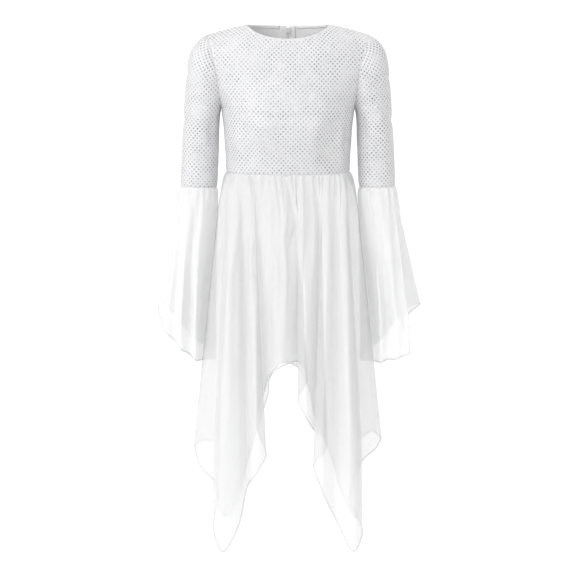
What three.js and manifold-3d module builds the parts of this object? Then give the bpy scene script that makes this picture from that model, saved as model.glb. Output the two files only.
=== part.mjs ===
// A praise dance tunic in the hollow form it takes when worn: a sequinned bodice with set-in
// sleeves, chiffon flounces below the elbows, and a gathered chiffon skirt whose handkerchief hem
// falls to four points. Millimetres, +Z up. The front faces -Y and +X is the wearer's left. The
// origin is midway between the shoulder seams, at the height of their middles.

import * as THREE from "three";
import { mergeVertices } from "three/addons/utils/BufferGeometryUtils.js";
import Module from "manifold-3d";

const wasm = await Module();
wasm.setup();

// ---------------------------------------------------------------- driving dimensions

const BODICE_CLOTH = 1.4; // sequinned stretch cloth
const CHIFFON = 1.2;
const SEAM = 0.3; // gap between two pieces that are sewn together

const NECK = { half: 95, top: 13, frontDrop: 33, backDrop: 2, frontDepth: 60, backDepth: 66 };
const NECK_CURVE = 1.3; // over 1 keeps the sides of the neckline high
const NECK_SHARE = 0.6; // share of the half bodice, across, that ends on the neckline
const SHOULDER = { fall: 24, curve: 1.15 }; // from the neck point to the shoulder point
const YOKE = { turn: 30, back: 1.4 }; // its turn at the centre, in degrees, and how late it goes back

const SIDE_RISE = 3; // how far the bodice's rows rise towards the side seams
const SQUARENESS = 0.92; // under 1 makes the body's ovals a little squarer
const WAIST_FLATNESS = 1.6; // the width of the waist's oval over its depth
const CUP = { centre: 76, spread: 40 }; // where the bust cups are fullest, from the centre line

// Gathered cloth: its gathers and their depth, the fall over which they fade, the fall at which it
// has spread to its full width, the share of the spread that comes at once, how far the gathers
// puff it out below the seam, and how many bands it is made in from the seam to the hem.
const SKIRT = { gathers: 36, depth: 2.3, fade: 55, full: 650, head: 0.16, puff: 0, bands: 11 };
const FLOUNCE = { gathers: 20, depth: 2, fade: 45, full: 330, head: 0, puff: 5, bands: 8 };
const HEAD_OVER = 0.06; // the first of the spread comes over this share of the fall to full width
const SPREAD_PAST = 0.12; // how much of its slope the cloth keeps below its full width
const PUFF = { rise: 12, fade: 160 }; // the falls over which the puff comes and goes
const BAND_GRADING = 1.5; // over 1 makes the bands shorter towards the seam

const NECK_HEM = { height: 7, thickness: 1 }; // turned in round the neckline
const HEM_STOPS = 0.3; // how far short of the shoulder seams, in columns of the bodice
const TAPE = { inner: 1.9, outer: 18, thickness: 1, stopsAbove: 12 }; // from the centre, and the waist
const OPENING = { gap: 1.5, depth: 34 }; // the back edges part round the slider
const SLIDER = { fall: 10, top: 10.5, foot: 8, height: 12, thickness: 3.4, plate: 1.4, clear: 0.6 };
const SLIDER_CORNER = 1.2; // cut off the slider's upper corners
const LOOP = { out: 2.6, hole: 1.3, rim: 2.3 }; // the slider's loop for its tab, outside the cloth
const TAB = { thickness: 1.3, bar: 1.4, top: 6, waist: 4.2, end: 7, length: 24 };
const TAB_WINDOW = { width: 2.5, height: 3.2 }; // the hole that the slider's loop passes through

const ARMHOLE_STEP = 18; // degrees between the bodice's upper rows, and the sleeve's columns
const ACROSS = 20; // columns in the whole width of the bodice

const COLOURS = { sequinned: 0xdcdce0, chiffon: 0xf6f6f8, tape: 0xe6e6ea, enamel: 0xf0f0f2 };

// ---------------------------------------------------------------- tables

// The bodice from the waist seam up to the widest part of the armhole. level is the height on the
// centre line. A row ends at the side seam, at half from the centre, or at the armhole, at an angle
// round it from the underarm. cup is the extra depth of the bust cups, and turn is how far round
// the side the cloth has turned at the row's end, in degrees.
const BODICE_ROWS = [
  { level: -336, half: 146.5, front: 98, back: 78, cup: 0, turn: 90 },
  { level: -305, half: 147.5, front: 105, back: 82, cup: 1, turn: 90 },
  { level: -268, half: 150, front: 114, back: 87, cup: 5, turn: 90 },
  { level: -229, half: 152.5, front: 120, back: 91, cup: 8, turn: 90 },
  { level: -189, armhole: 0, front: 119, back: 94, cup: 6, turn: 90 },
  { level: -177, armhole: 18, front: 117.5, back: 95, cup: 5, turn: 84 },
  { level: -163, armhole: 36, front: 115, back: 95, cup: 3.5, turn: 78 },
  { level: -146, armhole: 54, front: 110.5, back: 95, cup: 2, turn: 72 },
  { level: -126, armhole: 72, front: 105, back: 94, cup: 1, turn: 66 },
  { level: -104, armhole: 90, front: 98.5, back: 92, cup: 0, turn: 60 },
];

// A sleeve from the armhole down to the seam below the elbow. Each ring is an oval through an outer
// and an inner point, with its own depth to the front and the back. bow draws its middle inwards
// and shift moves it back.
const SLEEVE_RINGS = [
  { outer: [190, -11], inner: [158, -184], front: 50, back: 56, bow: 6, shift: 0 },
  { outer: [209, -22], inner: [159.5, -190], front: 52, back: 56, bow: 4, shift: 0 },
  { outer: [225, -42], inner: [160.5, -197], front: 53, back: 55, bow: 2, shift: 0 },
  { outer: [234, -68], inner: [161.5, -207], front: 52, back: 54, bow: 0, shift: 1 },
  { outer: [240, -105], inner: [162.5, -221], front: 50, back: 52, bow: 0, shift: 2 },
  { outer: [244, -155], inner: [163.5, -243], front: 48, back: 49, bow: 0, shift: 4 },
  { outer: [248.5, -215], inner: [164.5, -275], front: 47, back: 47, bow: 0, shift: 5 },
  { outer: [252, -275], inner: [166, -311], front: 46, back: 46, bow: 0, shift: 6 },
  { outer: [254.5, -325], inner: [168, -343], front: 45, back: 45, bow: 0, shift: 6 },
  { outer: [256, -369], inner: [170, -371], front: 44, back: 44, bow: 0, shift: 6 },
];

// The front of the skirt, from the wearer's right side seam to the left: where each fold stands
// once the skirt has spread to its full width, and the height at which the hem crosses it.
const SKIRT_FRONT = [
  { fold: "right side seam", x: -227, y: 0, hem: -1001 },
  { fold: "right side ridge", x: -211, y: -46, hem: -1040 },
  { fold: "valley", x: -176, y: -66, hem: -1074 },
  { fold: "valley, inside", x: -166, y: -84, hem: -1100 },
  { fold: "right point, edge", x: -177, y: -112, hem: -1174 },
  { fold: "right point", x: -153, y: -139, hem: -1226 },
  { fold: "right point, shoulder", x: -116, y: -130, hem: -1163 },
  { fold: "valley", x: -97, y: -94, hem: -1080 },
  { fold: "right inner ridge", x: -73, y: -127, hem: -1037 },
  { fold: "right inner, edge", x: -51, y: -111, hem: -996 },
  { fold: "right inner, behind", x: -66, y: -93, hem: -958 },
  { fold: "turn", x: -76, y: -76, hem: -915 },
  { fold: "valley", x: -60, y: -69, hem: -866 },
  { fold: "centre, rising", x: -40, y: -92, hem: -809 },
  { fold: "centre ridge", x: -12, y: -121, hem: -789 },
  { fold: "centre, falling back", x: 16, y: -102, hem: -780 },
  { fold: "centre, behind the fold", x: 38, y: -78, hem: -780 },
  { fold: "turn", x: 60, y: -63, hem: -814 },
  { fold: "left inner, behind", x: 46, y: -86, hem: -836 },
  { fold: "left inner, edge", x: 23, y: -111, hem: -866 },
  { fold: "left inner ridge", x: 42, y: -131, hem: -903 },
  { fold: "left inner, falling back", x: 62, y: -100, hem: -940 },
  { fold: "turn", x: 94, y: -70, hem: -975 },
  { fold: "left middle, behind", x: 82, y: -96, hem: -1000 },
  { fold: "left middle, edge", x: 60, y: -117, hem: -1022 },
  { fold: "left middle ridge", x: 80, y: -137, hem: -1078 },
  { fold: "valley", x: 114, y: -104, hem: -1158 },
  { fold: "left point", x: 154, y: -140, hem: -1225 },
  { fold: "left point, edge", x: 176, y: -114, hem: -1180 },
  { fold: "valley, behind", x: 148, y: -82, hem: -1112 },
  { fold: "left side, inside", x: 178, y: -68, hem: -1022 },
  { fold: "left side ridge", x: 209, y: -50, hem: -998 },
  { fold: "left side seam", x: 227, y: 0, hem: -981 },
];

// The back of the skirt, from the wearer's left side seam to the right.
const SKIRT_BACK = [
  { fold: "left side seam", x: 227, y: 0, hem: -981 },
  { fold: "left side ridge", x: 204, y: 44, hem: -972 },
  { fold: "valley", x: 172, y: 60, hem: -1010 },
  { fold: "left point, edge", x: 178, y: 104, hem: -1180 },
  { fold: "left point", x: 166, y: 128, hem: -1212 },
  { fold: "left point, shoulder", x: 128, y: 120, hem: -1130 },
  { fold: "valley", x: 112, y: 84, hem: -1060 },
  { fold: "ridge", x: 88, y: 116, hem: -1000 },
  { fold: "ridge, edge", x: 64, y: 100, hem: -940 },
  { fold: "valley", x: 56, y: 70, hem: -880 },
  { fold: "centre left ridge", x: 34, y: 106, hem: -834 },
  { fold: "centre valley", x: 6, y: 76, hem: -810 },
  { fold: "centre right ridge", x: -20, y: 108, hem: -814 },
  { fold: "valley", x: -46, y: 78, hem: -850 },
  { fold: "ridge, edge", x: -48, y: 100, hem: -890 },
  { fold: "ridge", x: -72, y: 118, hem: -968 },
  { fold: "valley", x: -98, y: 84, hem: -1048 },
  { fold: "right point, shoulder", x: -116, y: 118, hem: -1128 },
  { fold: "right point", x: -150, y: 132, hem: -1210 },
  { fold: "right point, edge", x: -174, y: 108, hem: -1172 },
  { fold: "valley", x: -170, y: 62, hem: -1010 },
  { fold: "right side ridge", x: -204, y: 46, hem: -996 },
  { fold: "right side seam", x: -227, y: 0, hem: -1001 },
];

// The flounces, from behind the skirt's side round the front, the outside and the back.
// x is the distance out from the tunic's centre line, on either side.
const FLOUNCE_LEFT = [
  { fold: "inside", x: 176, y: 64, hem: -797 },
  { fold: "beside the skirt", x: 200, y: 34, hem: -796 },
  { fold: "inner valley", x: 214, y: 4, hem: -794 },
  { fold: "inner ridge", x: 222, y: -32, hem: -791 },
  { fold: "valley", x: 238, y: -16, hem: -786 },
  { fold: "front ridge", x: 258, y: -48, hem: -779 },
  { fold: "valley", x: 276, y: -38, hem: -772 },
  { fold: "front corner", x: 290, y: -44, hem: -765 },
  { fold: "behind the corner", x: 283, y: -22, hem: -722 },
  { fold: "turn", x: 274, y: -4, hem: -694 },
  { fold: "outer, inside", x: 300, y: 8, hem: -672 },
  { fold: "outer point", x: 330, y: 22, hem: -655 },
  { fold: "back ridge", x: 300, y: 54, hem: -666 },
  { fold: "valley", x: 270, y: 56, hem: -690 },
  { fold: "back ridge", x: 250, y: 90, hem: -722 },
  { fold: "valley", x: 224, y: 74, hem: -752 },
  { fold: "inner back ridge", x: 196, y: 94, hem: -776 },
];
const FLOUNCE_RIGHT = [
  { fold: "inside", x: 176, y: 64, hem: -794 },
  { fold: "beside the skirt", x: 200, y: 34, hem: -793 },
  { fold: "inner valley", x: 214, y: 6, hem: -791 },
  { fold: "inner ridge", x: 222, y: -34, hem: -783 },
  { fold: "valley", x: 240, y: -18, hem: -769 },
  { fold: "front ridge", x: 255, y: -50, hem: -755 },
  { fold: "valley", x: 270, y: -28, hem: -738 },
  { fold: "outer front ridge", x: 288, y: -38, hem: -718 },
  { fold: "outer fall", x: 310, y: -8, hem: -682 },
  { fold: "outside", x: 321, y: 20, hem: -657 },
  { fold: "back ridge", x: 300, y: 56, hem: -666 },
  { fold: "valley", x: 270, y: 58, hem: -694 },
  { fold: "back ridge", x: 248, y: 90, hem: -728 },
  { fold: "valley", x: 222, y: 72, hem: -752 },
  { fold: "inner back ridge", x: 194, y: 92, hem: -774 },
];

// ---------------------------------------------------------------- small helpers

const radians = THREE.MathUtils.degToRad;
const { lerp, smoothstep } = THREE.MathUtils;
const point = (x, y, z) => new THREE.Vector3(x, y, z);
const steps = (count) => Array.from({ length: count + 1 }, (_, i) => i / count);

// A point where another piece meets the wall: the direction across the wall's end there, and the
// way that this piece is drawn back from the seam, if not along its own cloth.
function seamPoint(position, outward, apart) {
  position.outward = outward.normalize();
  position.apart = apart;
  return position;
}

// The same rows on the other side of the body.
function mirrored(rows) {
  const flip = (v) => v && point(-v.x, v.y, v.z);
  const turned = (p) => (p.outward ? seamPoint(flip(p), flip(p.outward), flip(p.apart)) : flip(p));
  return rows.map((row) => row.map(turned).reverse());
}

// ---------------------------------------------------------------- walls of cloth

// The outward direction at each point of a grid whose rows go up and whose columns run
// anticlockwise, seen from above.
function outwards(rows, closed) {
  const last = rows.length - 1;
  return rows.map((row, j) =>
    row.map((p, i) => {
      if (p.outward) return p.outward;
      const before = closed ? (i + row.length - 1) % row.length : Math.max(i - 1, 0);
      const after = closed ? (i + 1) % row.length : Math.min(i + 1, row.length - 1);
      const across = row[after].clone().sub(row[before]);
      const up = rows[Math.min(j + 1, last)][i].clone().sub(rows[Math.max(j - 1, 0)][i]);
      return across.cross(up).normalize();
    }),
  );
}

// Draws the end of a line of points back by half a seam.
function drawBack(end, next) {
  const way = end.apart ?? next.clone().sub(end).normalize();
  end.addScaledVector(way, SEAM / 2);
  end.apart = undefined;
}

// A closed wall of cloth inside a grid of points on its outer face. A closed wall is a tube. An
// open one has a spare column at each side, which only gives the direction of the seam there.
function wall(grid, thickness, closed = false) {
  const normals = outwards(grid, closed);
  const trim = (row) => (closed ? row : row.slice(1, -1));
  const outer = grid.map((row) => trim(row).map((p) => Object.assign(p.clone(), { apart: p.apart })));
  const out = normals.map(trim);
  const top = outer.length - 1;
  const width = outer[0].length;
  outer[0].forEach((p, i) => drawBack(p, outer[1][i]));
  outer[top].forEach((p, i) => drawBack(p, outer[top - 1][i]));
  for (const row of closed ? [] : outer) {
    drawBack(row[0], row[1]);
    drawBack(row[width - 1], row[width - 2]);
  }
  const inner = outer.map((row, j) =>
    row.map((p, i) => p.clone().addScaledVector(out[j][i], -thickness)),
  );

  const vertices = [...outer.flat(), ...inner.flat()];
  const onOuter = (j, i) => j * width + (i % width);
  const onInner = (j, i) => outer.length * width + onOuter(j, i);
  const faces = [];
  const span = (a, b) => vertices[a].distanceTo(vertices[b]);
  const quad = (a, b, c, d) => {
    if (span(a, c) <= span(b, d)) faces.push(a, b, c, a, c, d);
    else faces.push(a, b, d, b, c, d);
  };
  const spans = closed ? width : width - 1;
  for (let j = 0; j < top; j++) {
    for (let i = 0; i < spans; i++) {
      quad(onOuter(j, i), onOuter(j, i + 1), onOuter(j + 1, i + 1), onOuter(j + 1, i));
      quad(onInner(j, i), onInner(j + 1, i), onInner(j + 1, i + 1), onInner(j, i + 1));
    }
  }
  for (let i = 0; i < spans; i++) {
    quad(onOuter(0, i), onInner(0, i), onInner(0, i + 1), onOuter(0, i + 1));
    quad(onOuter(top, i), onOuter(top, i + 1), onInner(top, i + 1), onInner(top, i));
  }
  for (let j = 0; j < top && !closed; j++) {
    quad(onOuter(j, 0), onOuter(j + 1, 0), onInner(j + 1, 0), onInner(j, 0));
    quad(onOuter(j, spans), onInner(j, spans), onInner(j + 1, spans), onOuter(j + 1, spans));
  }
  const geometry = new THREE.BufferGeometry().setFromPoints(vertices);
  geometry.setIndex(faces);
  geometry.computeVertexNormals();
  return geometry;
}

// ---------------------------------------------------------------- sleeves

// A point on a sleeve ring of the wearer's left arm, at an angle from the side nearest the body
// round the front.
function onRing(ring, degrees) {
  const angle = radians(degrees);
  const outer = point(ring.outer[0], 0, ring.outer[1]);
  const inner = point(ring.inner[0], 0, ring.inner[1]);
  const half = outer.clone().sub(inner).divideScalar(2);
  const centre = outer.add(inner).divideScalar(2);
  const depth = Math.sin(angle) > 0 ? ring.front : ring.back;
  const across = point(-ring.bow * Math.sin(angle) ** 2, ring.shift - depth * Math.sin(angle), 0);
  return centre.addScaledVector(half, -Math.cos(angle)).add(across);
}

const ARMHOLE = SLEEVE_RINGS[0];
const ARMHOLE_MIDDLE = { ...ARMHOLE, front: 0, bow: 0 };
const CUFF = SLEEVE_RINGS.at(-1);
const MITRE = { lean: 0.2, middle: 0.3, underarm: 1.2 };

// The armhole seam, for the body's side of it (-1) or the sleeve's (1). The two walls are mitred
// over the shoulder and lie back to back at the underarm.
function armhole(degrees, side) {
  const angle = radians(degrees);
  const out = onRing({ ...ARMHOLE, bow: 0 }, degrees).sub(onRing(ARMHOLE_MIDDLE, 90)).normalize();
  const underarm = Math.max(0, Math.cos(angle));
  out.x += MITRE.lean + MITRE.middle * Math.sin(angle) ** 2 - side * MITRE.underarm * underarm;
  return seamPoint(onRing(ARMHOLE, degrees), out, point(side, 0, 0));
}

// The seam between a sleeve and its flounce, whose walls are cut level.
function cuff(degrees) {
  const angle = radians(degrees);
  return seamPoint(onRing(CUFF, degrees), point(-Math.cos(angle), -Math.sin(angle), 0));
}

function sleeveRows() {
  const angles = steps(360 / ARMHOLE_STEP).slice(0, -1).map((share) => share * 360);
  const rings = SLEEVE_RINGS.map((ring) => {
    if (ring === ARMHOLE) return angles.map((angle) => armhole(angle, 1));
    if (ring === CUFF) return angles.map(cuff);
    return angles.map((angle) => onRing(ring, angle));
  });
  return rings.reverse();
}

// ---------------------------------------------------------------- bodice

const UPPER_TURN = BODICE_ROWS.at(-1).turn;

// Where a row of the bodice ends on the wearer's left.
function rowEnd(row, face) {
  if (row.half) return point(row.half, 0, row.level + SIDE_RISE);
  if (row.armhole === 0) return point(ARMHOLE.inner[0], 0, ARMHOLE.inner[1]);
  return armhole(face.front ? row.armhole : -row.armhole, -1);
}

// A point of a bodice row. across runs from -1 at the right end to 1 at the left one.
function onRow(row, face, across) {
  const end = rowEnd(row, face);
  const turn = radians(row.turn);
  const angle = across * turn;
  const depth = face.front ? row.front : row.back;
  const squareness = lerp(1, SQUARENESS, Math.max(0, (row.turn - UPPER_TURN) / (90 - UPPER_TURN)));
  const fullness = ((Math.cos(angle) - Math.cos(turn)) / (1 - Math.cos(turn))) ** squareness || 0;
  const x = (end.x * Math.sin(angle)) / Math.sin(turn);
  const offCup = (Math.abs(x) - CUP.centre) / CUP.spread;
  const cup = face.front ? row.cup * Math.exp(-(offCup ** 2)) : 0;
  const edge = Math.abs(end.y);
  const y = face.side * (edge + (depth - edge) * fullness + cup * fullness);
  return point(x, y, lerp(row.level, end.z, across ** 2));
}

// The upper edge of the bodice: the neckline in the middle and a shoulder seam on each side.
function onTop(face, across) {
  const side = Math.sign(across);
  const share = Math.abs(across);
  if (share < NECK_SHARE - 1e-6) {
    const angle = radians((90 * share) / NECK_SHARE);
    const drop = face.front ? NECK.frontDrop : NECK.backDrop;
    const depth = face.front ? NECK.frontDepth : NECK.backDepth;
    return point(
      side * NECK.half * Math.sin(angle),
      face.side * depth * Math.cos(angle) ** SQUARENESS,
      NECK.top - drop * Math.cos(angle) ** NECK_CURVE,
    );
  }
  const along = (share - NECK_SHARE) / (1 - NECK_SHARE);
  const slope = point(side * SHOULDER.fall, 0, NECK.half);
  const x = side * lerp(NECK.half, ARMHOLE.outer[0], along);
  return seamPoint(point(x, 0, NECK.top - SHOULDER.fall * along ** SHOULDER.curve), slope);
}

// A point of the yoke, which turns over from the widest part of the armhole to the upper edge.
function onYoke(face, across, degrees) {
  const low = onRow(BODICE_ROWS.at(-1), face, across);
  const high = onTop(face, across);
  const share = (degrees - 90) / 90;
  const roundness = smoothstep(Math.abs(across), 0.1, NECK_SHARE);
  const turn = radians(lerp(YOKE.turn, 90, roundness));
  const rise = Math.sin(share * turn) / Math.sin(turn);
  const rounded = (1 - Math.cos(share * turn)) / (1 - Math.cos(turn));
  const back = lerp(share ** YOKE.back, rounded, roundness);
  const sine = Math.sin(radians(share * 90));
  const lean = (ARMHOLE.outer[0] - ARMHOLE.inner[0]) / 2;
  const out = (lean * sine + ARMHOLE.bow * sine ** 2) / (lean + ARMHOLE.bow);
  return point(lerp(low.x, high.x, out), lerp(low.y, high.y, back), lerp(low.z, high.z, rise));
}

// The point of the bodice at a row and a share across, with the seams that its edges share.
function onBodice(face, row, across) {
  const onEdge = Math.abs(across) === 1;
  const degrees = row === "top" ? 180 : row.armhole;
  if (onEdge && degrees !== undefined) {
    const end = armhole(face.front ? degrees : -degrees, -1);
    if (degrees % 180 === 0) end.apart.y = face.side; // the side and shoulder seams start here
    return across > 0 ? end : mirrored([[end]])[0][0];
  }
  if (row === "top") return onTop(face, across);
  if (row.yoke) return onYoke(face, across, degrees);
  const p = onRow(row, face, across);
  if (row === BODICE_ROWS[0]) return seamPoint(p, point(p.x, p.y * WAIST_FLATNESS, 0));
  return p;
}

const YOKE_ROWS = [108, 126, 144, 162].map((armholeAngle) => ({ armhole: armholeAngle, yoke: true }));
const PANEL_ROWS = [...BODICE_ROWS, ...YOKE_ROWS, "top"];
const FRONT = { front: true, side: -1, folds: SKIRT_FRONT };
const BACK = { front: false, side: 1, folds: SKIRT_BACK };

// Rows of a bodice panel between two shares across, with a spare column at each end.
function panelRows(face, from, to, columns) {
  const share = (i) => lerp(from, to, i / columns);
  return PANEL_ROWS.map((row) => {
    const made = Array.from({ length: columns + 1 }, (_, i) => onBodice(face, row, share(i)));
    const first = spareBeyond(face, row, from, made[1], made[0]);
    const last = spareBeyond(face, row, to, made.at(-2), made.at(-1));
    return [first, ...made, last];
  });
}

// The spare point beyond a panel's edge: over the side seam it is on the other face, and elsewhere
// it carries straight on.
function spareBeyond(face, row, across, inside, edge) {
  const atSideSeam = Math.abs(across) === 1 && row !== "top" && !row.yoke && !row.armhole;
  if (atSideSeam) return onBodice(face.front ? BACK : FRONT, row, across * (1 - 2 / ACROSS));
  return edge.clone().multiplyScalar(2).sub(inside);
}

// ---------------------------------------------------------------- gathered cloth

// How far gathered cloth has spread towards its full width, at a share of the way down to it.
function spread(cut, share) {
  if (share > 1) return 1 + SPREAD_PAST * (share - 1);
  return share + cut.head * (1 - share) * (1 - Math.exp(-share / HEAD_OVER));
}

// How far the gathers push the cloth out at a fall below the seam: all of it, and each crest.
function gathered(cut, fall, crest) {
  const fade = Math.exp(-((fall / cut.fade) ** 2));
  const puff = (1 - Math.exp(-fall / PUFF.rise)) * Math.exp(-fall / PUFF.fade);
  return crest * cut.depth * fade + cut.puff * puff;
}

// Rows of cloth gathered into a seam. seamAt gives a point of the seam at a share of its length,
// and the folds are where the cloth stands at full width. Every second column is a gather's crest.
function gatheredRows(seamAt, folds, cut, closed) {
  const places = folds.map((f) => point(f.x, f.y, 0));
  const hems = folds.map((f) => point(f.x, f.y, f.hem));
  const plan = new THREE.CatmullRomCurve3(places, closed, "centripetal");
  const hemLine = new THREE.CatmullRomCurve3(hems, closed, "centripetal");
  const columns = 2 * cut.gathers;
  const shares = closed ? steps(columns).slice(0, -1) : steps(columns);
  const top = shares.map(seamAt);
  const foldAt = shares.map((share) => plan.getUtoTmapping(share));
  const feet = foldAt.map((t) => plan.getPoint(t));
  const hem = foldAt.map((t) => hemLine.getPoint(t).z);

  const heights = steps(cut.bands).map((share) => (1 - share) ** BAND_GRADING);
  return heights.map((fall) =>
    shares.map((_, i) => {
      if (fall === 0) return top[i];
      const drop = (top[i].z - hem[i]) * fall;
      const reach = spread(cut, drop / cut.full);
      const x = lerp(top[i].x, feet[i].x, reach);
      const y = lerp(top[i].y, feet[i].y, reach);
      const push = gathered(cut, drop, i % 2 ? 1 : -1);
      return point(x, y, top[i].z - drop).addScaledVector(top[i].outward, push);
    }),
  );
}

// The waist seam of one face, from its first side seam to its second.
function waistSeam(face) {
  return (share) => onBodice(face, BODICE_ROWS[0], face.side * (1 - 2 * share));
}

// A skirt panel, with the neighbour's first column as the spare one at each side seam.
function skirtRows(face) {
  const own = gatheredRows(waistSeam(face), face.folds, SKIRT, false);
  const other = face.front ? BACK : FRONT;
  const next = gatheredRows(waistSeam(other), other.folds, SKIRT, false);
  const columns = 2 * SKIRT.gathers;
  return own.map((row, j) => [next[j][columns - 1], ...row, next[j][1]]);
}

// ---------------------------------------------------------------- neck and zip

// Half of the gap between the back edges at a height.
function openingGap(z) {
  const top = NECK.top - NECK.backDrop;
  return OPENING.gap * smoothstep(z, top - OPENING.depth, top);
}

// One half of the back, with its centre edge drawn away from the slider.
function backRows(side) {
  const columns = ACROSS / 2;
  const rows = side > 0 ? panelRows(BACK, 1, 0, columns) : panelRows(BACK, 0, -1, columns);
  const edge = side > 0 ? columns + 1 : 1;
  for (const row of rows) {
    const inside = row[edge - side];
    row[edge].x += side * openingGap(row[edge].z);
    row[edge + side] = point(-inside.x, inside.y, inside.z);
  }
  return rows;
}

const UNDER_CLOTH = BODICE_CLOTH + SEAM;

// The whole of a face, as a grid of points and the way out at each.
function surface(face) {
  const grid = face.front ? panelRows(FRONT, -1, 1, ACROSS) : panelRows(BACK, 1, -1, ACROSS);
  return { grid, out: outwards(grid, false) };
}

FRONT.surface = surface(FRONT);
BACK.surface = surface(BACK);

// A point under a face's cloth, at a distance from one row towards the next one. Rows count from
// the bottom, and columns from the face's first side seam.
function under(face, row, nextRow, distance, column) {
  const { grid, out } = face.surface;
  const [before, after] = [Math.floor(column) + 1, Math.ceil(column) + 1];
  const at = (lines, j) => lines[j][before].clone().lerp(lines[j][after], column % 1);
  const [start, end] = [at(grid, row), at(grid, nextRow)];
  const share = distance && distance / start.distanceTo(end);
  const away = at(out, row).lerp(at(out, nextRow), share);
  return start.lerp(end, share).addScaledVector(away, -UNDER_CLOTH);
}

// A wall of cloth that lies on the inside of another, between its own ends.
function strip(rows, thickness) {
  const beyond = (edge, inside) => edge.clone().multiplyScalar(2).sub(inside);
  return wall(
    rows.map((row) => [beyond(row[0], row[1]), ...row, beyond(row.at(-1), row.at(-2))]),
    thickness,
  );
}

const TOP_ROW = PANEL_ROWS.length - 1;
const CENTRE_COLUMN = ACROSS / 2;

// The neck's hem on a face, between two columns.
function neckHem(face, from, to) {
  const columns = steps(Math.round(to - from)).map((t) => lerp(from, to, t));
  const rowAt = (fall) => columns.map((column) => under(face, TOP_ROW, TOP_ROW - 1, fall, column));
  return strip([rowAt(SEAM + NECK_HEM.height), rowAt(SEAM)], NECK_HEM.thickness);
}

// One side of the zip, from its stop near the waist up to the neck.
function zipTape(side) {
  const edges = side > 0 ? [TAPE.outer, TAPE.inner] : [-TAPE.inner, -TAPE.outer];
  const rowAt = (row, nextRow, distance) =>
    edges.map((x) => {
      const pitch = Math.abs(BACK.surface.grid[row][CENTRE_COLUMN].x);
      return under(BACK, row, nextRow, distance, CENTRE_COLUMN - x / pitch);
    });
  const rows = PANEL_ROWS.map((_, row) => rowAt(row, row, 0));
  rows[0] = rowAt(0, 1, TAPE.stopsAbove);
  rows[TOP_ROW] = rowAt(TOP_ROW, TOP_ROW - 1, SEAM);
  return strip(rows, TAPE.thickness);
}

// Turns a mesh built at the origin, out along +Y and up along +Z, to where the slider sits on the
// back's slope: its loop's pin is then at the origin's new place.
function placeOnZip(geometry) {
  const top = onBodice(BACK, "top", 0);
  const down = onBodice(BACK, PANEL_ROWS.at(-2), 0).sub(top).normalize();
  const slope = Math.atan2(down.y, -down.z);
  const place = top.addScaledVector(down, SLIDER.fall);
  place.y += LOOP.out * Math.cos(slope);
  place.z += LOOP.out * Math.sin(slope);
  return geometry.rotateX(slope).translate(0, place.y, place.z);
}

function asManifold(geometry) {
  const bare = new THREE.BufferGeometry();
  bare.setAttribute("position", geometry.getAttribute("position"));
  bare.setIndex(geometry.index);
  const merged = mergeVertices(bare, 1e-4);
  return new wasm.Manifold(
    new wasm.Mesh({
      numProp: 3,
      vertProperties: new Float32Array(merged.attributes.position.array),
      triVerts: new Uint32Array(merged.index.array),
    }),
  );
}

function fromManifold(manifold) {
  const mesh = manifold.getMesh();
  const geometry = new THREE.BufferGeometry();
  geometry.setAttribute("position", new THREE.BufferAttribute(mesh.vertProperties, 3));
  geometry.setIndex(new THREE.BufferAttribute(mesh.triVerts, 1));
  return geometry;
}

// A flat shape drawn across and up, made solid on both sides of its plane and stood up to face +Y.
function upright(shape, depth) {
  const geometry = new THREE.ExtrudeGeometry(shape, { depth, bevelEnabled: false, curveSegments: 10 });
  return geometry.translate(0, 0, -depth / 2).rotateX(Math.PI / 2);
}

// A closed outline from the points of its right half, listed upwards.
function symmetric(half) {
  const right = half.map(([x, z]) => new THREE.Vector2(x, z));
  const left = half.map(([x, z]) => new THREE.Vector2(-x, z)).reverse();
  return [...right, ...left];
}

// The slider: its body inside the tunic, and a plate through the opening that ends in a loop. The
// loop's centre is at the origin.
function zipSlider() {
  const back = -LOOP.out - UNDER_CLOTH - TAPE.thickness - SLIDER.clear;
  const top = SLIDER.height / 2;
  const outline = symmetric([
    [SLIDER.foot / 2, -top],
    [SLIDER.top / 2, top - SLIDER_CORNER],
    [SLIDER.top / 2 - SLIDER_CORNER, top],
  ]);
  const body = upright(new THREE.Shape(outline), SLIDER.thickness);
  body.translate(0, back - SLIDER.thickness / 2, 0);

  const root = back - SLIDER.plate; // the plate starts inside the body
  const side = new THREE.Shape();
  side.moveTo(root, -LOOP.rim);
  side.lineTo(0, -LOOP.rim);
  side.absarc(0, 0, LOOP.rim, -Math.PI / 2, Math.PI / 2, false);
  side.lineTo(root, LOOP.rim);
  side.holes.push(new THREE.Path().absarc(0, 0, LOOP.hole, 0, 2 * Math.PI, true));
  const plate = upright(side, SLIDER.plate).rotateZ(Math.PI / 2);
  return placeOnZip(fromManifold(asManifold(body).add(asManifold(plate))));
}

// The pull tab: a bar through the slider's loop, a window round the loop, and a rounded end.
function pullTab() {
  const top = TAB.bar / 2;
  const radius = TAB.end / 2;
  const foot = radius - TAB.length; // the height of the rounded end's centre
  const shoulder = -top - TAB_WINDOW.height - TAB.bar;
  const outline = new THREE.Shape();
  outline.moveTo(-TAB.top / 2, top);
  outline.lineTo(-TAB.top / 2, shoulder);
  outline.lineTo(-TAB.waist / 2, -TAB.length / 2);
  outline.absarc(0, foot, radius, Math.PI, 2 * Math.PI, false);
  outline.lineTo(TAB.waist / 2, -TAB.length / 2);
  outline.lineTo(TAB.top / 2, shoulder);
  outline.lineTo(TAB.top / 2, top);
  const half = TAB_WINDOW.width / 2;
  const hole = symmetric([
    [half, -top - TAB_WINDOW.height],
    [half, -top],
  ]);
  outline.holes.push(new THREE.Path(hole));
  return placeOnZip(fromManifold(asManifold(upright(outline, TAB.thickness))));
}

// ---------------------------------------------------------------- the tunic

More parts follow.
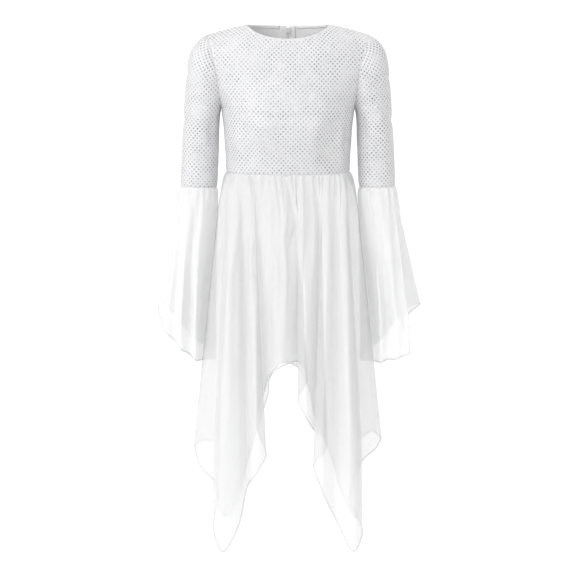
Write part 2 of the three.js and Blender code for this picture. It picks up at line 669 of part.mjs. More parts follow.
const materials = {};
for (const [name, color] of Object.entries(COLOURS)) {
  const roughness = name === "enamel" ? 0.35 : 0.8;
  materials[name] = new THREE.MeshStandardMaterial({ color, roughness, side: THREE.DoubleSide });
}

const tunic = new THREE.Group();

function add(name, geometry, material) {
  const mesh = new THREE.Mesh(geometry, materials[material]);
  mesh.name = name;
  tunic.add(mesh);
}

add("bodice_front", wall(panelRows(FRONT, -1, 1, ACROSS), BODICE_CLOTH), "sequinned");
add("bodice_back_left", wall(backRows(1), BODICE_CLOTH), "sequinned");
add("bodice_back_right", wall(backRows(-1), BODICE_CLOTH), "sequinned");
add("sleeve_left", wall(sleeveRows(), BODICE_CLOTH, true), "sequinned");
add("sleeve_right", wall(mirrored(sleeveRows()), BODICE_CLOTH, true), "sequinned");

const flounce = (folds) => gatheredRows((share) => cuff(360 * share), folds, FLOUNCE, true);
add("flounce_left", wall(flounce(FLOUNCE_LEFT), CHIFFON, true), "chiffon");
add("flounce_right", wall(mirrored(flounce(FLOUNCE_RIGHT)), CHIFFON, true), "chiffon");
add("skirt_front", wall(skirtRows(FRONT), CHIFFON), "chiffon");
add("skirt_back", wall(skirtRows(BACK), CHIFFON), "chiffon");

const neckColumns = (NECK_SHARE * ACROSS) / 2 - HEM_STOPS;
const [first, last] = [CENTRE_COLUMN - neckColumns, CENTRE_COLUMN + neckColumns];
add("neck_hem_front", neckHem(FRONT, first, last), "sequinned");
add("neck_hem_back_left", neckHem(BACK, first, CENTRE_COLUMN - 1), "sequinned");
add("neck_hem_back_right", neckHem(BACK, CENTRE_COLUMN + 1, last), "sequinned");
add("zip_tape_left", zipTape(1), "tape");
add("zip_tape_right", zipTape(-1), "tape");
add("zip_slider", zipSlider(), "enamel");
add("zip_pull_tab", pullTab(), "enamel");

export default tunic;
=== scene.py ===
"""A praise dance tunic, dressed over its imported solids.

The bodice and sleeves are white knit set with silver dots, and the skirt and flounces are sheer
chiffon, hollow as worn. Points are worked out in millimetres and become metres in the meshes.
The front faces -Y, and +X is the wearer's left.
"""

import functools
import math

import bpy
import numpy as np
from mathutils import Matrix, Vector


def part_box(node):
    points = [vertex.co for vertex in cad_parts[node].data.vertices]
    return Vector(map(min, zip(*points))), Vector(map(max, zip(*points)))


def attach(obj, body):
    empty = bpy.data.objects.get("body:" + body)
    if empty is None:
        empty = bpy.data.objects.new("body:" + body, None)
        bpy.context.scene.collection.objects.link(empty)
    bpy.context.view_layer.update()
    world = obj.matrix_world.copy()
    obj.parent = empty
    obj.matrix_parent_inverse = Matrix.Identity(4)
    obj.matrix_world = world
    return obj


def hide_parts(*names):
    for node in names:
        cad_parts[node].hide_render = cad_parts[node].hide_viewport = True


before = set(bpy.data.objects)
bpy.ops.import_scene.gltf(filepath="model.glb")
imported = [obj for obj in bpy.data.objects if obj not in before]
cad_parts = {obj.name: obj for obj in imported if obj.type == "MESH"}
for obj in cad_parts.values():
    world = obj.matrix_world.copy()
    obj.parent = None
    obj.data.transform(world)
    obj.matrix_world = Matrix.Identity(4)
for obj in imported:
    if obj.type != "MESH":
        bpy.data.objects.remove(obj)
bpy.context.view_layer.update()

MM = 0.001
SEED = 11
SIDES = {"left": 1, "right": -1}  # the wearer's, and their way along x

# ---------------------------------------------------------------- camera, light and floor

CAMERA_DISTANCE = 4.85
CAMERA_ELEVATION = 7.5
CAMERA_TARGET_Z = -0.61426
CAMERA_LENS = 126.3

FLOOR_Z = -1.7
FLOOR_HALF = 120.0

WORLD_LIGHT = 0.8  # from all round
BACKDROP = 1.1  # the world as the camera sees it


def add_camera():
    camera = bpy.data.objects.new("camera", bpy.data.cameras.new("camera"))
    bpy.context.collection.objects.link(camera)
    rise = math.radians(CAMERA_ELEVATION)
    camera.location = (
        0,
        -CAMERA_DISTANCE * math.cos(rise),
        CAMERA_TARGET_Z + CAMERA_DISTANCE * math.sin(rise),
    )
    camera.rotation_euler = (math.pi / 2 - rise, 0, 0)
    camera.data.lens = CAMERA_LENS
    camera.data.sensor_width = 36
    bpy.context.scene.camera = camera


def add_soft_light(name, azimuth, elevation, strength, spread):
    """Even, soft light from an azimuth, in degrees round from the front to the tunic's own left."""
    light = bpy.data.lights.new(name, "SUN")
    light.energy = strength
    light.angle = math.radians(spread)
    lamp = bpy.data.objects.new(name, light)
    lamp.rotation_euler = (math.radians(90 - elevation), 0, math.radians(azimuth))
    bpy.context.collection.objects.link(lamp)


def add_world():
    """White all round, and brighter where the camera looks straight at it."""
    world = bpy.data.worlds.new("studio")
    world.use_nodes = True
    nodes, links = world.node_tree.nodes, world.node_tree.links
    background = nodes["Background"]
    background.inputs["Color"].default_value = (1, 1, 1, 1)
    path = nodes.new("ShaderNodeLightPath")
    strength = nodes.new("ShaderNodeMix")
    strength.inputs["A"].default_value = WORLD_LIGHT
    strength.inputs["B"].default_value = BACKDROP
    links.new(path.outputs["Is Camera Ray"], strength.inputs["Factor"])
    links.new(strength.outputs[0], background.inputs["Strength"])
    bpy.context.scene.world = world


def add_floor():
    mesh = bpy.data.meshes.new("floor")
    corners = [(-1, -1), (1, -1), (1, 1), (-1, 1)]
    places = [(x * FLOOR_HALF, y * FLOOR_HALF, FLOOR_Z) for x, y in corners]
    mesh.from_pydata(places, [], [(0, 1, 2, 3)])
    floor = bpy.data.objects.new("floor", mesh)
    bpy.context.collection.objects.link(floor)
    pale = bpy.data.materials.new("pale_floor")
    pale.use_nodes = True
    shader = pale.node_tree.nodes["Principled BSDF"]
    shader.inputs["Base Color"].default_value = (0.96, 0.96, 0.96, 1)
    shader.inputs["Roughness"].default_value = 0.9
    shader.inputs["Specular IOR Level"].default_value = 0.1
    mesh.materials.append(pale)


add_camera()
add_world()
add_floor()
add_soft_light("key", azimuth=-46, elevation=38, strength=1.5, spread=34)
add_soft_light("fill", azimuth=150, elevation=60, strength=0.3, spread=70)
bpy.context.scene.view_settings.view_transform = "Standard"

# ---------------------------------------------------------------- sizes, as in the solids

KNIT = 1.4
CHIFFON = 1.2
SEAM = 0.3

NECK_HALF, NECK_TOP = 95, 13
NECK_DROP = {"front": 33, "back": 2}
NECK_DEPTH = {"front": 60, "back": 66}
NECK_CURVE = 1.3
NECK_SHARE = 0.6
SHOULDER_FALL, SHOULDER_CURVE = 24, 1.15
YOKE_TURN, YOKE_BACK, YOKE_ROUND_FROM = 30, 1.4, 0.1
SIDE_RISE = 3
SQUARENESS = 0.92
WAIST_FLATNESS = 1.6
CUP_CENTRE, CUP_SPREAD = 76, 40

HEAD_OVER = 0.06
SPREAD_PAST = 0.12
PUFF_RISE, PUFF_FADE = 12, 160
CAUGHT = 5  # below the seam, the fall over which the gathers open
SKIRT = {"gathers": 27, "depth": 2.9, "fade": 40, "full": 650, "head": 0.16, "puff": 0}
FLOUNCE = {"gathers": 17, "depth": 1.6, "fade": 30, "full": 330, "head": 0, "puff": 5}

NECK_HEM_HEIGHT = 7
TAPE_INNER, TAPE_OUTER, TAPE_STOPS_ABOVE = 1.9, 18, 12
OPENING_GAP, OPENING_DEPTH = 1.5, 34

# level, half width or 0, armhole angle or -1, front, back, cup, turn
BODICE_ROWS = [
    (-336, 146.5, -1, 98, 78, 0, 90),
    (-305, 147.5, -1, 105, 82, 1, 90),
    (-268, 150, -1, 114, 87, 5, 90),
    (-229, 152.5, -1, 120, 91, 8, 90),
    (-189, 0, 0, 119, 94, 6, 90),
    (-177, 0, 18, 117.5, 95, 5, 84),
    (-163, 0, 36, 115, 95, 3.5, 78),
    (-146, 0, 54, 110.5, 95, 2, 72),
    (-126, 0, 72, 105, 94, 1, 66),
    (-104, 0, 90, 98.5, 92, 0, 60),
]
UPPER_TURN = 60
YOKE_ROWS = [108, 126, 144, 162]  # armhole angles

# outer x, outer z, inner x, inner z, front, back, bow, shift
SLEEVE_RINGS = np.array([
    (190, -11, 158, -184, 50, 56, 6, 0),
    (209, -22, 159.5, -190, 52, 56, 4, 0),
    (225, -42, 160.5, -197, 53, 55, 2, 0),
    (234, -68, 161.5, -207, 52, 54, 0, 1),
    (240, -105, 162.5, -221, 50, 52, 0, 2),
    (244, -155, 163.5, -243, 48, 49, 0, 4),
    (248.5, -215, 164.5, -275, 47, 47, 0, 5),
    (252, -275, 166, -311, 46, 46, 0, 6),
    (254.5, -325, 168, -343, 45, 45, 0, 6),
    (256, -369, 170, -371, 44, 44, 0, 6),
], float)
ARMHOLE, CUFF = SLEEVE_RINGS[0], SLEEVE_RINGS[-1]

# The folds of the gathered cloth: x, y and the hem's height, round each piece.
SKIRT_FRONT = np.array([
    (-227, 0, -1001), (-211, -46, -1040), (-176, -66, -1074), (-166, -84, -1100),
    (-177, -112, -1174), (-153, -139, -1226), (-116, -130, -1163), (-97, -94, -1080),
    (-73, -127, -1037), (-51, -111, -996), (-66, -93, -958), (-76, -76, -915),
    (-60, -69, -866), (-40, -92, -809), (-12, -121, -789), (16, -102, -780),
    (38, -78, -780), (60, -63, -814), (46, -86, -836), (23, -111, -866),
    (42, -131, -903), (62, -100, -940), (94, -70, -975), (82, -96, -1000),
    (60, -117, -1022), (80, -137, -1078), (114, -104, -1158), (154, -140, -1225),
    (176, -114, -1180), (148, -82, -1112), (178, -68, -1022), (209, -50, -998),
    (227, 0, -981),
], float)
SKIRT_BACK = np.array([
    (227, 0, -981), (204, 44, -972), (172, 60, -1010), (178, 104, -1180),
    (166, 128, -1212), (128, 120, -1130), (112, 84, -1060), (88, 116, -1000),
    (64, 100, -940), (56, 70, -880), (34, 106, -834), (6, 76, -810),
    (-20, 108, -814), (-46, 78, -850), (-48, 100, -890), (-72, 118, -968),
    (-98, 84, -1048), (-116, 118, -1128), (-150, 132, -1210), (-174, 108, -1172),
    (-170, 62, -1010), (-204, 46, -996), (-227, 0, -1001),
], float)
FLOUNCE_LEFT = np.array([
    (176, 64, -797), (200, 34, -796), (214, 4, -794), (222, -32, -791),
    (238, -16, -786), (258, -48, -779), (276, -38, -772), (290, -44, -765),
    (283, -22, -722), (274, -4, -694), (300, 8, -672), (330, 22, -655),
    (300, 54, -666), (270, 56, -690), (250, 90, -722), (224, 74, -752),
    (196, 94, -776),
], float)
FLOUNCE_RIGHT = np.array([
    (176, 64, -794), (200, 34, -793), (214, 6, -791), (222, -34, -783),
    (240, -18, -769), (255, -50, -755), (270, -28, -738), (288, -38, -718),
    (310, -8, -682), (321, 20, -657), (300, 56, -666), (270, 58, -694),
    (248, 90, -728), (222, 72, -752), (194, 92, -774),
], float)

# ---------------------------------------------------------------- points and curves


def points(x, y, z):
    return np.stack(np.broadcast_arrays(x, y, z), axis=-1).astype(float)


def length(vectors):
    return np.linalg.norm(vectors, axis=-1, keepdims=True)


def unit(vectors):
    return vectors / np.maximum(length(vectors), 1e-12)


def lerp(a, b, share):
    return a + (b - a) * share


def smoothstep(value, low, high):
    share = np.clip((value - low) / (high - low), 0, 1)
    return share * share * (3 - 2 * share)


def mirrored(grid):
    """The same grid on the other side of the body."""
    return grid[:, ::-1] * (-1, 1, 1)


def catmull_rom(stations, shares, closed=False):
    """Points at shares from 0 to 1 along a centripetal curve through stations, on their first axis."""
    spans = len(stations) if closed else len(stations) - 1
    place = np.clip(np.asarray(shares, float) * spans, 0, spans - 1e-9)
    first = place.astype(int)
    part = (place - first).reshape(-1, *[1] * (stations.ndim - 1))
    if closed:
        padded = np.concatenate([stations[-1:], stations, stations[:2]])
    else:
        before = 2 * stations[:1] - stations[1:2]
        after = 2 * stations[-1:] - stations[-2:-1]
        padded = np.concatenate([before, stations, after])
    p0, p1, p2, p3 = (padded[first + k] for k in range(4))
    d0, d1, d2 = (np.maximum(length(b - a) ** 0.5, 1e-4) for a, b in ((p0, p1), (p1, p2), (p2, p3)))
    start = ((p1 - p0) / d0 - (p2 - p0) / (d0 + d1) + (p2 - p1) / d1) * d1
    end = ((p2 - p1) / d1 - (p3 - p1) / (d1 + d2) + (p3 - p2) / d2) * d1
    square = -3 * p1 + 3 * p2 - 2 * start - end
    cube = 2 * p1 - 2 * p2 + start + end
    return p1 + part * (start + part * (square + part * cube))


def run_of(path):
    """How far along it each point of a path lies."""
    return np.concatenate([[0], np.cumsum(length(np.diff(path, axis=0))[:, 0])])


def even_shares(stations, shares, closed):
    """The curve shares at even shares of the curve's length."""
    divisions = np.linspace(0, 1, 201)
    lengths = run_of(catmull_rom(stations, divisions, closed))
    return np.interp(np.asarray(shares) * lengths[-1], lengths, divisions)


def run_along(grid, axis):
    """How far each point lies along its own line of the grid, from the line's start."""
    steps = length(np.diff(grid, axis=axis))[..., 0]
    start = np.zeros_like(np.take(steps, [0], axis=axis))
    return np.concatenate([start, np.cumsum(steps, axis=axis)], axis=axis)


def interpolated(places, stations, values):
    """Points at places along rising stations, from the points there."""
    return np.stack([np.interp(places, stations, values[:, k]) for k in range(3)], -1)


def outwards(grid, closed):
    """The way out at each point of a grid whose rows go up and whose columns run anticlockwise."""
    if closed:
        across = np.roll(grid, -1, axis=1) - np.roll(grid, 1, axis=1)
    else:
        across = np.gradient(grid, axis=1)
    return unit(np.cross(across, np.gradient(grid, axis=0)))


# ---------------------------------------------------------------- the bodice and sleeves' surfaces

FRONT = {"name": "front", "side": -1}
BACK = {"name": "back", "side": 1}


def on_ring(rings, degrees):
    """Points round sleeve rings, by angles from the side nearest the body round the front."""
    columns = np.moveaxis(np.asarray(rings, float), -1, 0)[..., None]
    outer_x, outer_z, inner_x, inner_z, front, back, bow, shift = columns
    angle = np.radians(degrees)
    x = (outer_x + inner_x) / 2 - np.cos(angle) * (outer_x - inner_x) / 2 - bow * np.sin(angle) ** 2
    y = shift - np.where(np.sin(angle) > 0, front, back) * np.sin(angle)
    z = (outer_z + inner_z) / 2 - np.cos(angle) * (outer_z - inner_z) / 2
    return points(x, y, z)


def row_end(row, face):
    level, half, armhole = row[:3]
    if half:
        return np.array([half, 0, level + SIDE_RISE], float)
    return on_ring(ARMHOLE, [armhole if face["side"] < 0 else -armhole])[0]


def on_row(row, face, across):
    level, _, _, front, back, cup, turn = row
    end = row_end(row, face)
    depth = front if face["side"] < 0 else back
    round_it = np.radians(turn)
    angle = across * round_it
    squareness = lerp(1, SQUARENESS, max(0, (turn - UPPER_TURN) / (90 - UPPER_TURN)))
    fullness = (np.cos(angle) - np.cos(round_it)) / (1 - np.cos(round_it))
    fullness = np.clip(fullness, 0, None) ** squareness
    x = end[0] * np.sin(angle) / np.sin(round_it)
    bust = cup * np.exp(-(((np.abs(x) - CUP_CENTRE) / CUP_SPREAD) ** 2)) if face["side"] < 0 else 0
    edge = abs(end[1])
    y = face["side"] * (edge + (depth - edge) * fullness + bust * fullness)
    return points(x, y, lerp(level, end[2], across**2))


def on_top(face, across):
    """The upper edge: the neckline in the middle and a shoulder seam on each side."""
    share = np.abs(across)
    angle = np.radians(90 * np.clip(share / NECK_SHARE, 0, 1))
    fall = np.clip(np.cos(angle), 0, None)
    neck = points(
        np.sign(across) * NECK_HALF * np.sin(angle),
        face["side"] * NECK_DEPTH[face["name"]] * fall**SQUARENESS,
        NECK_TOP - NECK_DROP[face["name"]] * fall**NECK_CURVE,
    )
    along = np.clip((share - NECK_SHARE) / (1 - NECK_SHARE), 0, 1)
    shoulder = points(
        np.sign(across) * lerp(NECK_HALF, ARMHOLE[0], along),
        0,
        NECK_TOP - SHOULDER_FALL * along**SHOULDER_CURVE,
    )
    return np.where((share < NECK_SHARE)[:, None], neck, shoulder)


def on_yoke(face, across, degrees):
    """A row of the yoke, which turns over from the armhole's widest part to the upper edge."""
    low, high = on_row(BODICE_ROWS[-1], face, across), on_top(face, across)
    share = (degrees - 90) / 90
    roundness = smoothstep(np.abs(across), YOKE_ROUND_FROM, NECK_SHARE)
    turn = np.radians(lerp(YOKE_TURN, 90, roundness))
    rise = np.sin(share * turn) / np.sin(turn)
    rounded = (1 - np.cos(share * turn)) / (1 - np.cos(turn))
    back = lerp(share**YOKE_BACK, rounded, roundness)
    sine = math.sin(math.radians(share * 90))
    lean, bow = (ARMHOLE[0] - ARMHOLE[2]) / 2, ARMHOLE[6]
    out = (lean * sine + bow * sine**2) / (lean + bow)
    mixed = (lerp(low[:, k], high[:, k], amount) for k, amount in enumerate((out, back, rise)))
    return points(*mixed)


def bodice_surface(face, start, end, columns, rows):
    """A smooth grid of part of the bodice, between two shares across."""
    across = np.linspace(start, end, columns)
    made = [on_row(row, face, across) for row in BODICE_ROWS]
    made += [on_yoke(face, across, degrees) for degrees in YOKE_ROWS]
    made.append(on_top(face, across))
    made = np.array(made)
    stations = np.concatenate([[0], np.cumsum(length(np.diff(made, axis=0)).mean(axis=(1, 2)))])
    even = np.linspace(0, stations[-1], rows)
    shares = np.interp(even, stations, np.linspace(0, 1, len(made)))
    return catmull_rom(made, shares)


def sleeve_surface(columns, rows):
    """A smooth grid of the left sleeve, from the cuff up, its columns round from the underarm."""
    steps = length(np.diff(on_ring(SLEEVE_RINGS, [0, 90, 180, 270]), axis=0)).mean(axis=(1, 2))
    stations = np.concatenate([[0], np.cumsum(steps)])
    even = np.linspace(stations[-1], 0, rows)
    shares = np.interp(even, stations, np.linspace(0, 1, len(SLEEVE_RINGS)))
    rings = catmull_rom(SLEEVE_RINGS, shares)
    return on_ring(rings, np.linspace(0, 360, columns, endpoint=False))


# ---------------------------------------------------------------- gathered cloth

WANDER = 0.32  # how far a gather strays from its even place, in gathers
UNEVEN_DEPTH, UNEVEN_FADE = (0.3, 1.7), (0.5, 1.9)
ROWS_CROWD = 1.25  # towards the seam


def spread(cut, share):
    """How far the cloth has spread to its full width, at a share of the way down to it."""
    early = share + cut["head"] * (1 - share) * (1 - np.exp(-share / HEAD_OVER))
    return np.where(share > 1, 1 + SPREAD_PAST * (share - 1), early)


def uneven(count, low, high, shares, seed):
    """Random values at even stations, and smooth in between, at shares from 0 to 1."""
    values = np.random.default_rng(seed).uniform(low, high, count)
    return catmull_rom(points(values, 0, np.arange(count) * (high - low)), shares)[:, 0]


def gathered(top, outward, folds, cut, shares, closed, rows, seed):
    """Cloth gathered into a seam, from its hem up: the solid's own form, with uneven gathers."""
    place = even_shares(folds * (1, 1, 0), shares, closed)
    feet = catmull_rom(folds * (1, 1, 0), place, closed)
    hem = catmull_rom(folds, place, closed)[:, 2]
    full = top[:, 2] - hem
    drop = np.linspace(1, 0, rows)[:, None] ** ROWS_CROWD * full
    reach = spread(cut, drop / cut["full"])
    x = lerp(top[:, 0], feet[:, 0], reach)
    y = lerp(top[:, 1], feet[:, 1], reach)
    grid = points(x, y, top[:, 2] - drop)

    count = cut["gathers"]
    wander = uneven(count, -WANDER, WANDER, shares, seed)
    depth = cut["depth"] * uneven(2 * count, *UNEVEN_DEPTH, shares, seed + 1)
    fade = cut["fade"] * uneven(2 * count, *UNEVEN_FADE, shares, seed + 2)
    crest = -np.cos(2 * np.pi * (count * shares + wander))
    pleat = crest * depth * np.exp(-((drop / fade) ** 2)) * (1 - np.exp(-drop / CAUGHT))
    puff = cut["puff"] * (1 - np.exp(-drop / PUFF_RISE)) * np.exp(-drop / PUFF_FADE)
    return grid + outward * (pleat + puff)[..., None]


def waist_seam(face, shares):
    """The waist seam of one face, from its first side seam, and the way out of it."""
    across = face["side"] * (1 - 2 * shares)
    seam = on_row(BODICE_ROWS[0], face, across)
    seam[:, 2] -= SEAM / 2
    return seam, unit(seam * (1, WAIST_FLATNESS, 0))


def cuff_seam(shares):
    degrees = 360 * shares
    seam = on_ring(CUFF, degrees)
    seam[:, 2] -= SEAM / 2
    angle = np.radians(degrees)
    return seam, points(-np.cos(angle), -np.sin(angle), 0)


# ---------------------------------------------------------------- meshes

TUBE_SIDES = 8


def new_piece(name, vertices, faces, *materials):
    """A smooth piece of the tunic, from points in millimetres."""
    mesh = bpy.data.meshes.new(name)
    mesh.from_pydata(vertices.reshape(-1, 3) * MM, [], faces)
    mesh.polygons.foreach_set("use_smooth", np.ones(len(mesh.polygons), bool))
    for material in materials:
        mesh.materials.append(material)
    mesh.update()
    piece = bpy.data.objects.new(name, mesh)
    bpy.context.collection.objects.link(piece)
    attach(piece, "tunic")
    return piece


def looped(grid):
    """A closed grid with its first column again at its end."""
    return np.concatenate([grid, grid[:, :1]], axis=1)


def shell_faces(rows, spans, closed, at, below):
    """The faces of a shell's outside, inside and rims, by the numbers that at gives to its places."""
    j, i = np.meshgrid(np.arange(rows - 1), np.arange(spans), indexing="ij")
    outer = np.stack([at(j, i), at(j, i + 1), at(j + 1, i + 1), at(j + 1, i)], -1).reshape(-1, 4)
    inner = outer[:, ::-1] + below
    i = np.arange(spans)
    top = rows - 1
    rims = [
        np.stack([at(0, i), at(0, i) + below, at(0, i + 1) + below, at(0, i + 1)], -1),
        np.stack([at(top, i), at(top, i + 1), at(top, i + 1) + below, at(top, i) + below], -1),
    ]
    if not closed:
        j = np.arange(top)
        rims.append(np.stack([at(j, 0), at(j + 1, 0), at(j + 1, 0) + below, at(j, 0) + below], -1))
        sides = [at(j, spans), at(j, spans) + below, at(j + 1, spans) + below, at(j + 1, spans)]
        rims.append(np.stack(sides, -1))
    return outer, inner, np.concatenate(rims)


def shell(name, grid, thickness, closed, outside, inside, lie):
    """A thin closed shell of cloth under a grid. lie is the flat run across and up it, and has
    one more column where the grid is closed."""
    rows, columns = grid.shape[:2]
    inner_grid = grid - outwards(grid, closed) * thickness
    vertices = np.concatenate([grid.reshape(-1, 3), inner_grid.reshape(-1, 3)])
    spans = columns if closed else columns - 1
    outer, inner, rims = shell_faces(
        rows, spans, closed, lambda j, i: j * columns + i % columns, rows * columns
    )
    faces = np.concatenate([outer, inner, rims])
    piece = new_piece(name, vertices, faces.tolist(), outside, inside)
    mesh = piece.data
    slots = np.zeros(len(faces), np.int32)
    slots[len(outer) : len(outer) + len(inner)] = 1
    mesh.polygons.foreach_set("material_index", slots)
    smooth = np.ones(len(faces), bool)
    smooth[len(outer) + len(inner) :] = False
    mesh.polygons.foreach_set("use_smooth", smooth)

    flat = np.stack([*lie], -1).reshape(-1, 2) * MM
    corners = np.concatenate(shell_faces(rows, spans, closed, lambda j, i: j * (spans + 1) + i, 0))
    layer = mesh.uv_layers.new(name="cloth")
    layer.data.foreach_set("uv", flat[corners.reshape(-1)].reshape(-1).astype(np.float32))
    mesh.update()
    return piece


def joined(name, vertices, faces, material):
    """One piece from many like parts: vertices (parts, n, 3) and the faces of one part."""
    parts, count = vertices.shape[:2]
    first = (np.arange(parts) * count)[:, None]
    every = [face for like in faces for face in (np.asarray(like) + first).tolist()]
    return new_piece(name, vertices, every, material)


def tube(name, path, away, radius, material, closed=False):
    """A round cord along a path. away is a way out at each of its points, and radius is one or
    a value for each point."""
    along = np.roll(path, -1, 0) - np.roll(path, 1, 0) if closed else np.gradient(path, axis=0)
    along = unit(along)
    away = unit(away - along * np.sum(away * along, -1, keepdims=True))
    beside = np.cross(along, away)
    angles = np.linspace(0, 2 * np.pi, TUBE_SIDES, endpoint=False)[:, None]
    reach = np.broadcast_to(radius, len(path))[:, None, None]
    ring = np.cos(angles) * away[:, None] + np.sin(angles) * beside[:, None]
    count = len(path)
    around = range(TUBE_SIDES)
    faces = []
    for j in range(count if closed else count - 1):
        a, b = j * TUBE_SIDES, (j + 1) % count * TUBE_SIDES
        faces += [(a + k, a + (k + 1) % TUBE_SIDES, b + (k + 1) % TUBE_SIDES, b + k) for k in around]
    if not closed:
        faces.append(tuple(around)[::-1])
        faces.append(tuple((count - 1) * TUBE_SIDES + k for k in around))
    return new_piece(name, path[:, None] + reach * ring, faces, material)


# ---------------------------------------------------------------- materials

WAVE_PITCH = 0.31416  # a wave texture at scale 1 repeats over this many units
THREAD_WANDER = 0.3
THREAD_STRENGTH = 0.6
PATCHES = 0.02  # of lighter and darker cloth, to a thread
RAMP_ENDS = 0.3, 0.7  # the noise at which the darkest and the lightest colour are reached


def new_material(name, colour, roughness, **constants):
    """A Principled material, and its nodes and links."""
    material = bpy.data.materials.new(name)
    material.use_nodes = True
    nodes, links = material.node_tree.nodes, material.node_tree.links
    shader = nodes["Principled BSDF"]
    shader.inputs["Base Color"].default_value = (*colour, 1)
    shader.inputs["Roughness"].default_value = roughness
    for socket, value in constants.items():
        shader.inputs[socket.replace("_", " ")].default_value = value
    return material, nodes, links, shader


def cloth_place(nodes, links, pitch):
    """Coordinates in the cloth's own flat lie, one unit to a pitch in metres."""
    coordinates = nodes.new("ShaderNodeTexCoord")
    scale = nodes.new("ShaderNodeVectorMath")
    scale.operation = "SCALE"
    scale.inputs["Scale"].default_value = 1 / pitch
    links.new(coordinates.outputs["UV"], scale.inputs[0])
    return scale.outputs[0]


def mottle_and_glints(nodes, links, shader, place, scale, dark, light, detail=3):
    """Colour that varies over the surface between two greys: a little, as the cloth's and the enamel's own
    uneven tone, and widely on the silver dots, as painted glints and painted dark reflections.
    """
    noise = nodes.new("ShaderNodeTexNoise")
    noise.inputs["Scale"].default_value = scale
    noise.inputs["Detail"].default_value = detail
    links.new(place, noise.inputs["Vector"])
    ramp = nodes.new("ShaderNodeValToRGB")
    for end, place_on_ramp, colour in zip(ramp.color_ramp.elements, RAMP_ENDS, (dark, light)):
        end.position = place_on_ramp
        end.color = (*colour, 1)
    links.new(noise.outputs[0], ramp.inputs[0])
    links.new(ramp.outputs[0], shader.inputs["Base Color"])
    return noise


def bump(nodes, links, shader, heights, distance, strength):
    node = nodes.new("ShaderNodeBump")
    node.inputs["Distance"].default_value = distance
    node.inputs["Strength"].default_value = strength
    links.new(heights, node.inputs["Height"])
    links.new(node.outputs[0], shader.inputs["Normal"])


def threads(nodes, links, place, direction):
    """Even ridges along the cloth's x or y, one to a unit."""
    node = nodes.new("ShaderNodeTexWave")
    node.bands_direction = direction
    node.inputs["Scale"].default_value = WAVE_PITCH
    node.inputs["Distortion"].default_value = THREAD_WANDER
    node.inputs["Detail"].default_value = 1
    links.new(place, node.inputs["Vector"])
    return node.outputs[1]


def woven(name, colours, roughness, pitch, depth, **constants):
    """Woven or knitted cloth whose threads are a pitch apart, in metres."""
    material, nodes, links, shader = new_material(name, colours[0], roughness, **constants)
    place = cloth_place(nodes, links, pitch)
    mottle_and_glints(nodes, links, shader, place, PATCHES, *colours)
    crossings = nodes.new("ShaderNodeMath")
    crossings.operation = "MULTIPLY"
    links.new(threads(nodes, links, place, "X"), crossings.inputs[0])
    links.new(threads(nodes, links, place, "Y"), crossings.inputs[1])
    bump(nodes, links, shader, crossings.outputs[0], depth, THREAD_STRENGTH)
    return material


def uneven_surface(name, colours, roughness, scale, detail, depth, strength, **constants):
    """A hard surface whose colour and height vary together. On the silver dots the colour's wide spread is
    painted glints and painted dark reflections; on the enamel it is the enamel's own uneven tone.
    """
    material, nodes, links, shader = new_material(name, colours[0], roughness, **constants)
    place = nodes.new("ShaderNodeTexCoord").outputs["Object"]
    noise = mottle_and_glints(nodes, links, shader, place, scale, *colours, detail)
    bump(nodes, links, shader, noise.outputs[0], depth, strength)
    return material


# name, the darkest and the lightest colour, roughness, thread pitch and depth in metres
KNIT_FACE = woven(
    "sequin_knit", ((0.685, 0.685, 0.695), (0.735, 0.735, 0.745)), 0.6, 0.0011, 0.0003,
    Sheen_Weight=0.2, Sheen_Roughness=0.5,
)
# The knit's inside is far lighter than its face: painted light inside the garment, where little light
# reaches.
KNIT_BACK_PAINTED_LIGHT = woven("knit_wrong_side_painted_light", ((0.94, 0.94, 0.945), (0.96, 0.96, 0.965)), 0.8, 0.0012, 0.0003)
CHIFFON_CLOTH = woven(
    "chiffon", ((0.82, 0.82, 0.825), (0.84, 0.84, 0.845)), 0.55, 0.0007, 0.00012,
    Alpha=0.31, Sheen_Weight=0.25, Sheen_Roughness=0.4,
)
# The flounces' chiffon is a lighter, less sheer copy of the skirt's: painted light where the flounces look
# brighter than the skirt.
FLOUNCE_CLOTH_PAINTED_LIGHT = woven(
    "flounce_chiffon_painted_light", ((0.925, 0.925, 0.93), (0.945, 0.945, 0.95)), 0.55, 0.0007, 0.00012,
    Alpha=0.40, Sheen_Weight=0.25, Sheen_Roughness=0.4,
)
HEM_THREAD = woven("hem_thread", ((0.62, 0.62, 0.63), (0.70, 0.70, 0.71)), 0.6, 0.0008, 0.0002)
SEAM_THREAD = woven("seam_thread", ((0.70, 0.70, 0.71), (0.76, 0.76, 0.77)), 0.6, 0.0008, 0.0002)
TAPE_WEAVE = woven("zip_tape_weave", ((0.93, 0.93, 0.935), (0.96, 0.96, 0.965)), 0.7, 0.0009, 0.0002)
NYLON = woven("coil_nylon", ((0.90, 0.90, 0.905), (0.94, 0.94, 0.945)), 0.35, 0.0006, 0.0001)
# name, the darkest and the lightest colour, roughness, the noise's scale and detail, the bump's
# depth and strength
# The dots' colour runs from dark to near white in broad patches: painted glints and painted dark
# reflections on the silver.
SILVER_PAINTED_GLINTS = uneven_surface(
    "silver_dot", ((0.19, 0.19, 0.20), (0.63, 0.63, 0.64)), 0.3, 34, 5, 0.0004, 0.25, Metallic=1.0
)
ENAMEL = uneven_surface(
    "white_enamel", ((0.83, 0.83, 0.84), (0.88, 0.88, 0.89)), 0.3, 900, 3, 0.0001, 0.15,
    Coat_Weight=0.4, Coat_Roughness=0.12,
)

# The zip's slider and pull tab take the white enamel.
for node in ("zip_slider", "zip_pull_tab"):
    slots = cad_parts[node].data.materials
    slots.clear()
    slots.append(ENAMEL)

# ---------------------------------------------------------------- creases

